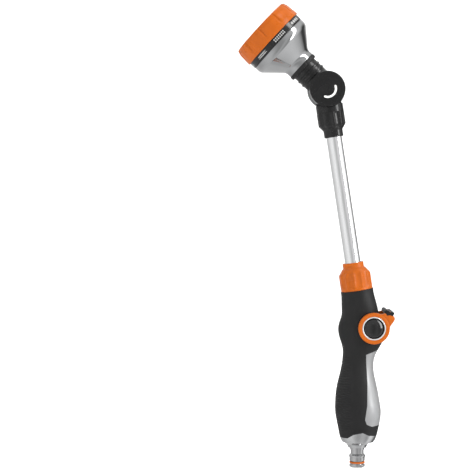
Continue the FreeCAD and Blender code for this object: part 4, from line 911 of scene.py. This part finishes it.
sweep_out = CAP_RADIUS * np.sin(np.linspace(POLE, np.pi / 2, 40))
inside = (CAP_RADIUS - CAP_WALL) * np.sin(np.linspace(np.pi / 2, POLE, 16))
cap_profile = np.concatenate([
    np.stack([sweep_out, dome_height(sweep_out)], axis=1),
    [(CAP_RADIUS, SEAT - 0.6), (CAP_RADIUS - CAP_WALL, SEAT - 0.6)],
    np.stack([inside, dome_height(inside, CAP_WALL)], axis=1),
])
ring_loop = rounded([
    (CAP_RADIUS + 0.05, SEAT, 0.1), (RECESS_RADIUS, SEAT, 0.1), (RECESS_RADIUS, RING_TOP, 0.6),
    (CAP_RADIUS + 0.05, RING_TOP, 0.6),
], closed=True)
for side_name, where in (("near", VALVE_NEAR), ("far", VALVE_FAR)):
    make_piece(f"hub_dome_{side_name}", [turned(cap_profile, where)], hub_gloss, "lever",
               [f"hub_cap_{side_name}"])
    make_piece(f"hub_ring_{side_name}", [turned(ring_loop, where)], bright_trim, "lever",
               [f"trim_ring_{side_name}"], wrap=True)

# %% [markdown]
# # The floor
# The floor is a wide bowl of white paper, flat in the middle and swept up into a wall all round. It is
# part of the stage, not of the wand, and it glows a little so that it stays white in the corners. Glossy
# parts don't mirror it, because they should mirror the tent instead.

# %% The stage and the end
FLOOR_LEVEL, BOWL_RADIUS, BOWL_SWEEP, WALL_TOP, FLOOR_RINGS = -1.3, 4500, 1400, 2600, 64

paper = finish("white paper", (0.93, 0.93, 0.93), 0.9,
               Emission_Color=(1, 1, 1, 1), Emission_Strength=0.32)
raise_by(paper, noise(paper, 60.0), 0.2)
bowl = rounded([(0.001, FLOOR_LEVEL, 0), (BOWL_RADIUS, FLOOR_LEVEL, BOWL_SWEEP),
                (BOWL_RADIUS, WALL_TOP, 0)], steps=16)
floor_grid = turned(bowl, UPRIGHT, rings=FLOOR_RINGS).reshape(-1, 3) * MM
floor_faces = grid_faces(FLOOR_RINGS, len(bowl), False, 0)[:, ::-1]
floor_mesh = bpy.data.meshes.new("floor")
floor_mesh.from_pydata(floor_grid.tolist(), [], floor_faces.tolist())
floor_mesh.polygons.foreach_set("use_smooth", np.ones(len(floor_mesh.polygons), bool))
floor_mesh.materials.append(paper)
floor = bpy.data.objects.new("floor", floor_mesh)
bpy.context.scene.collection.objects.link(floor)
floor.visible_glossy = False
print("floor of", len(floor_mesh.polygons), "faces")
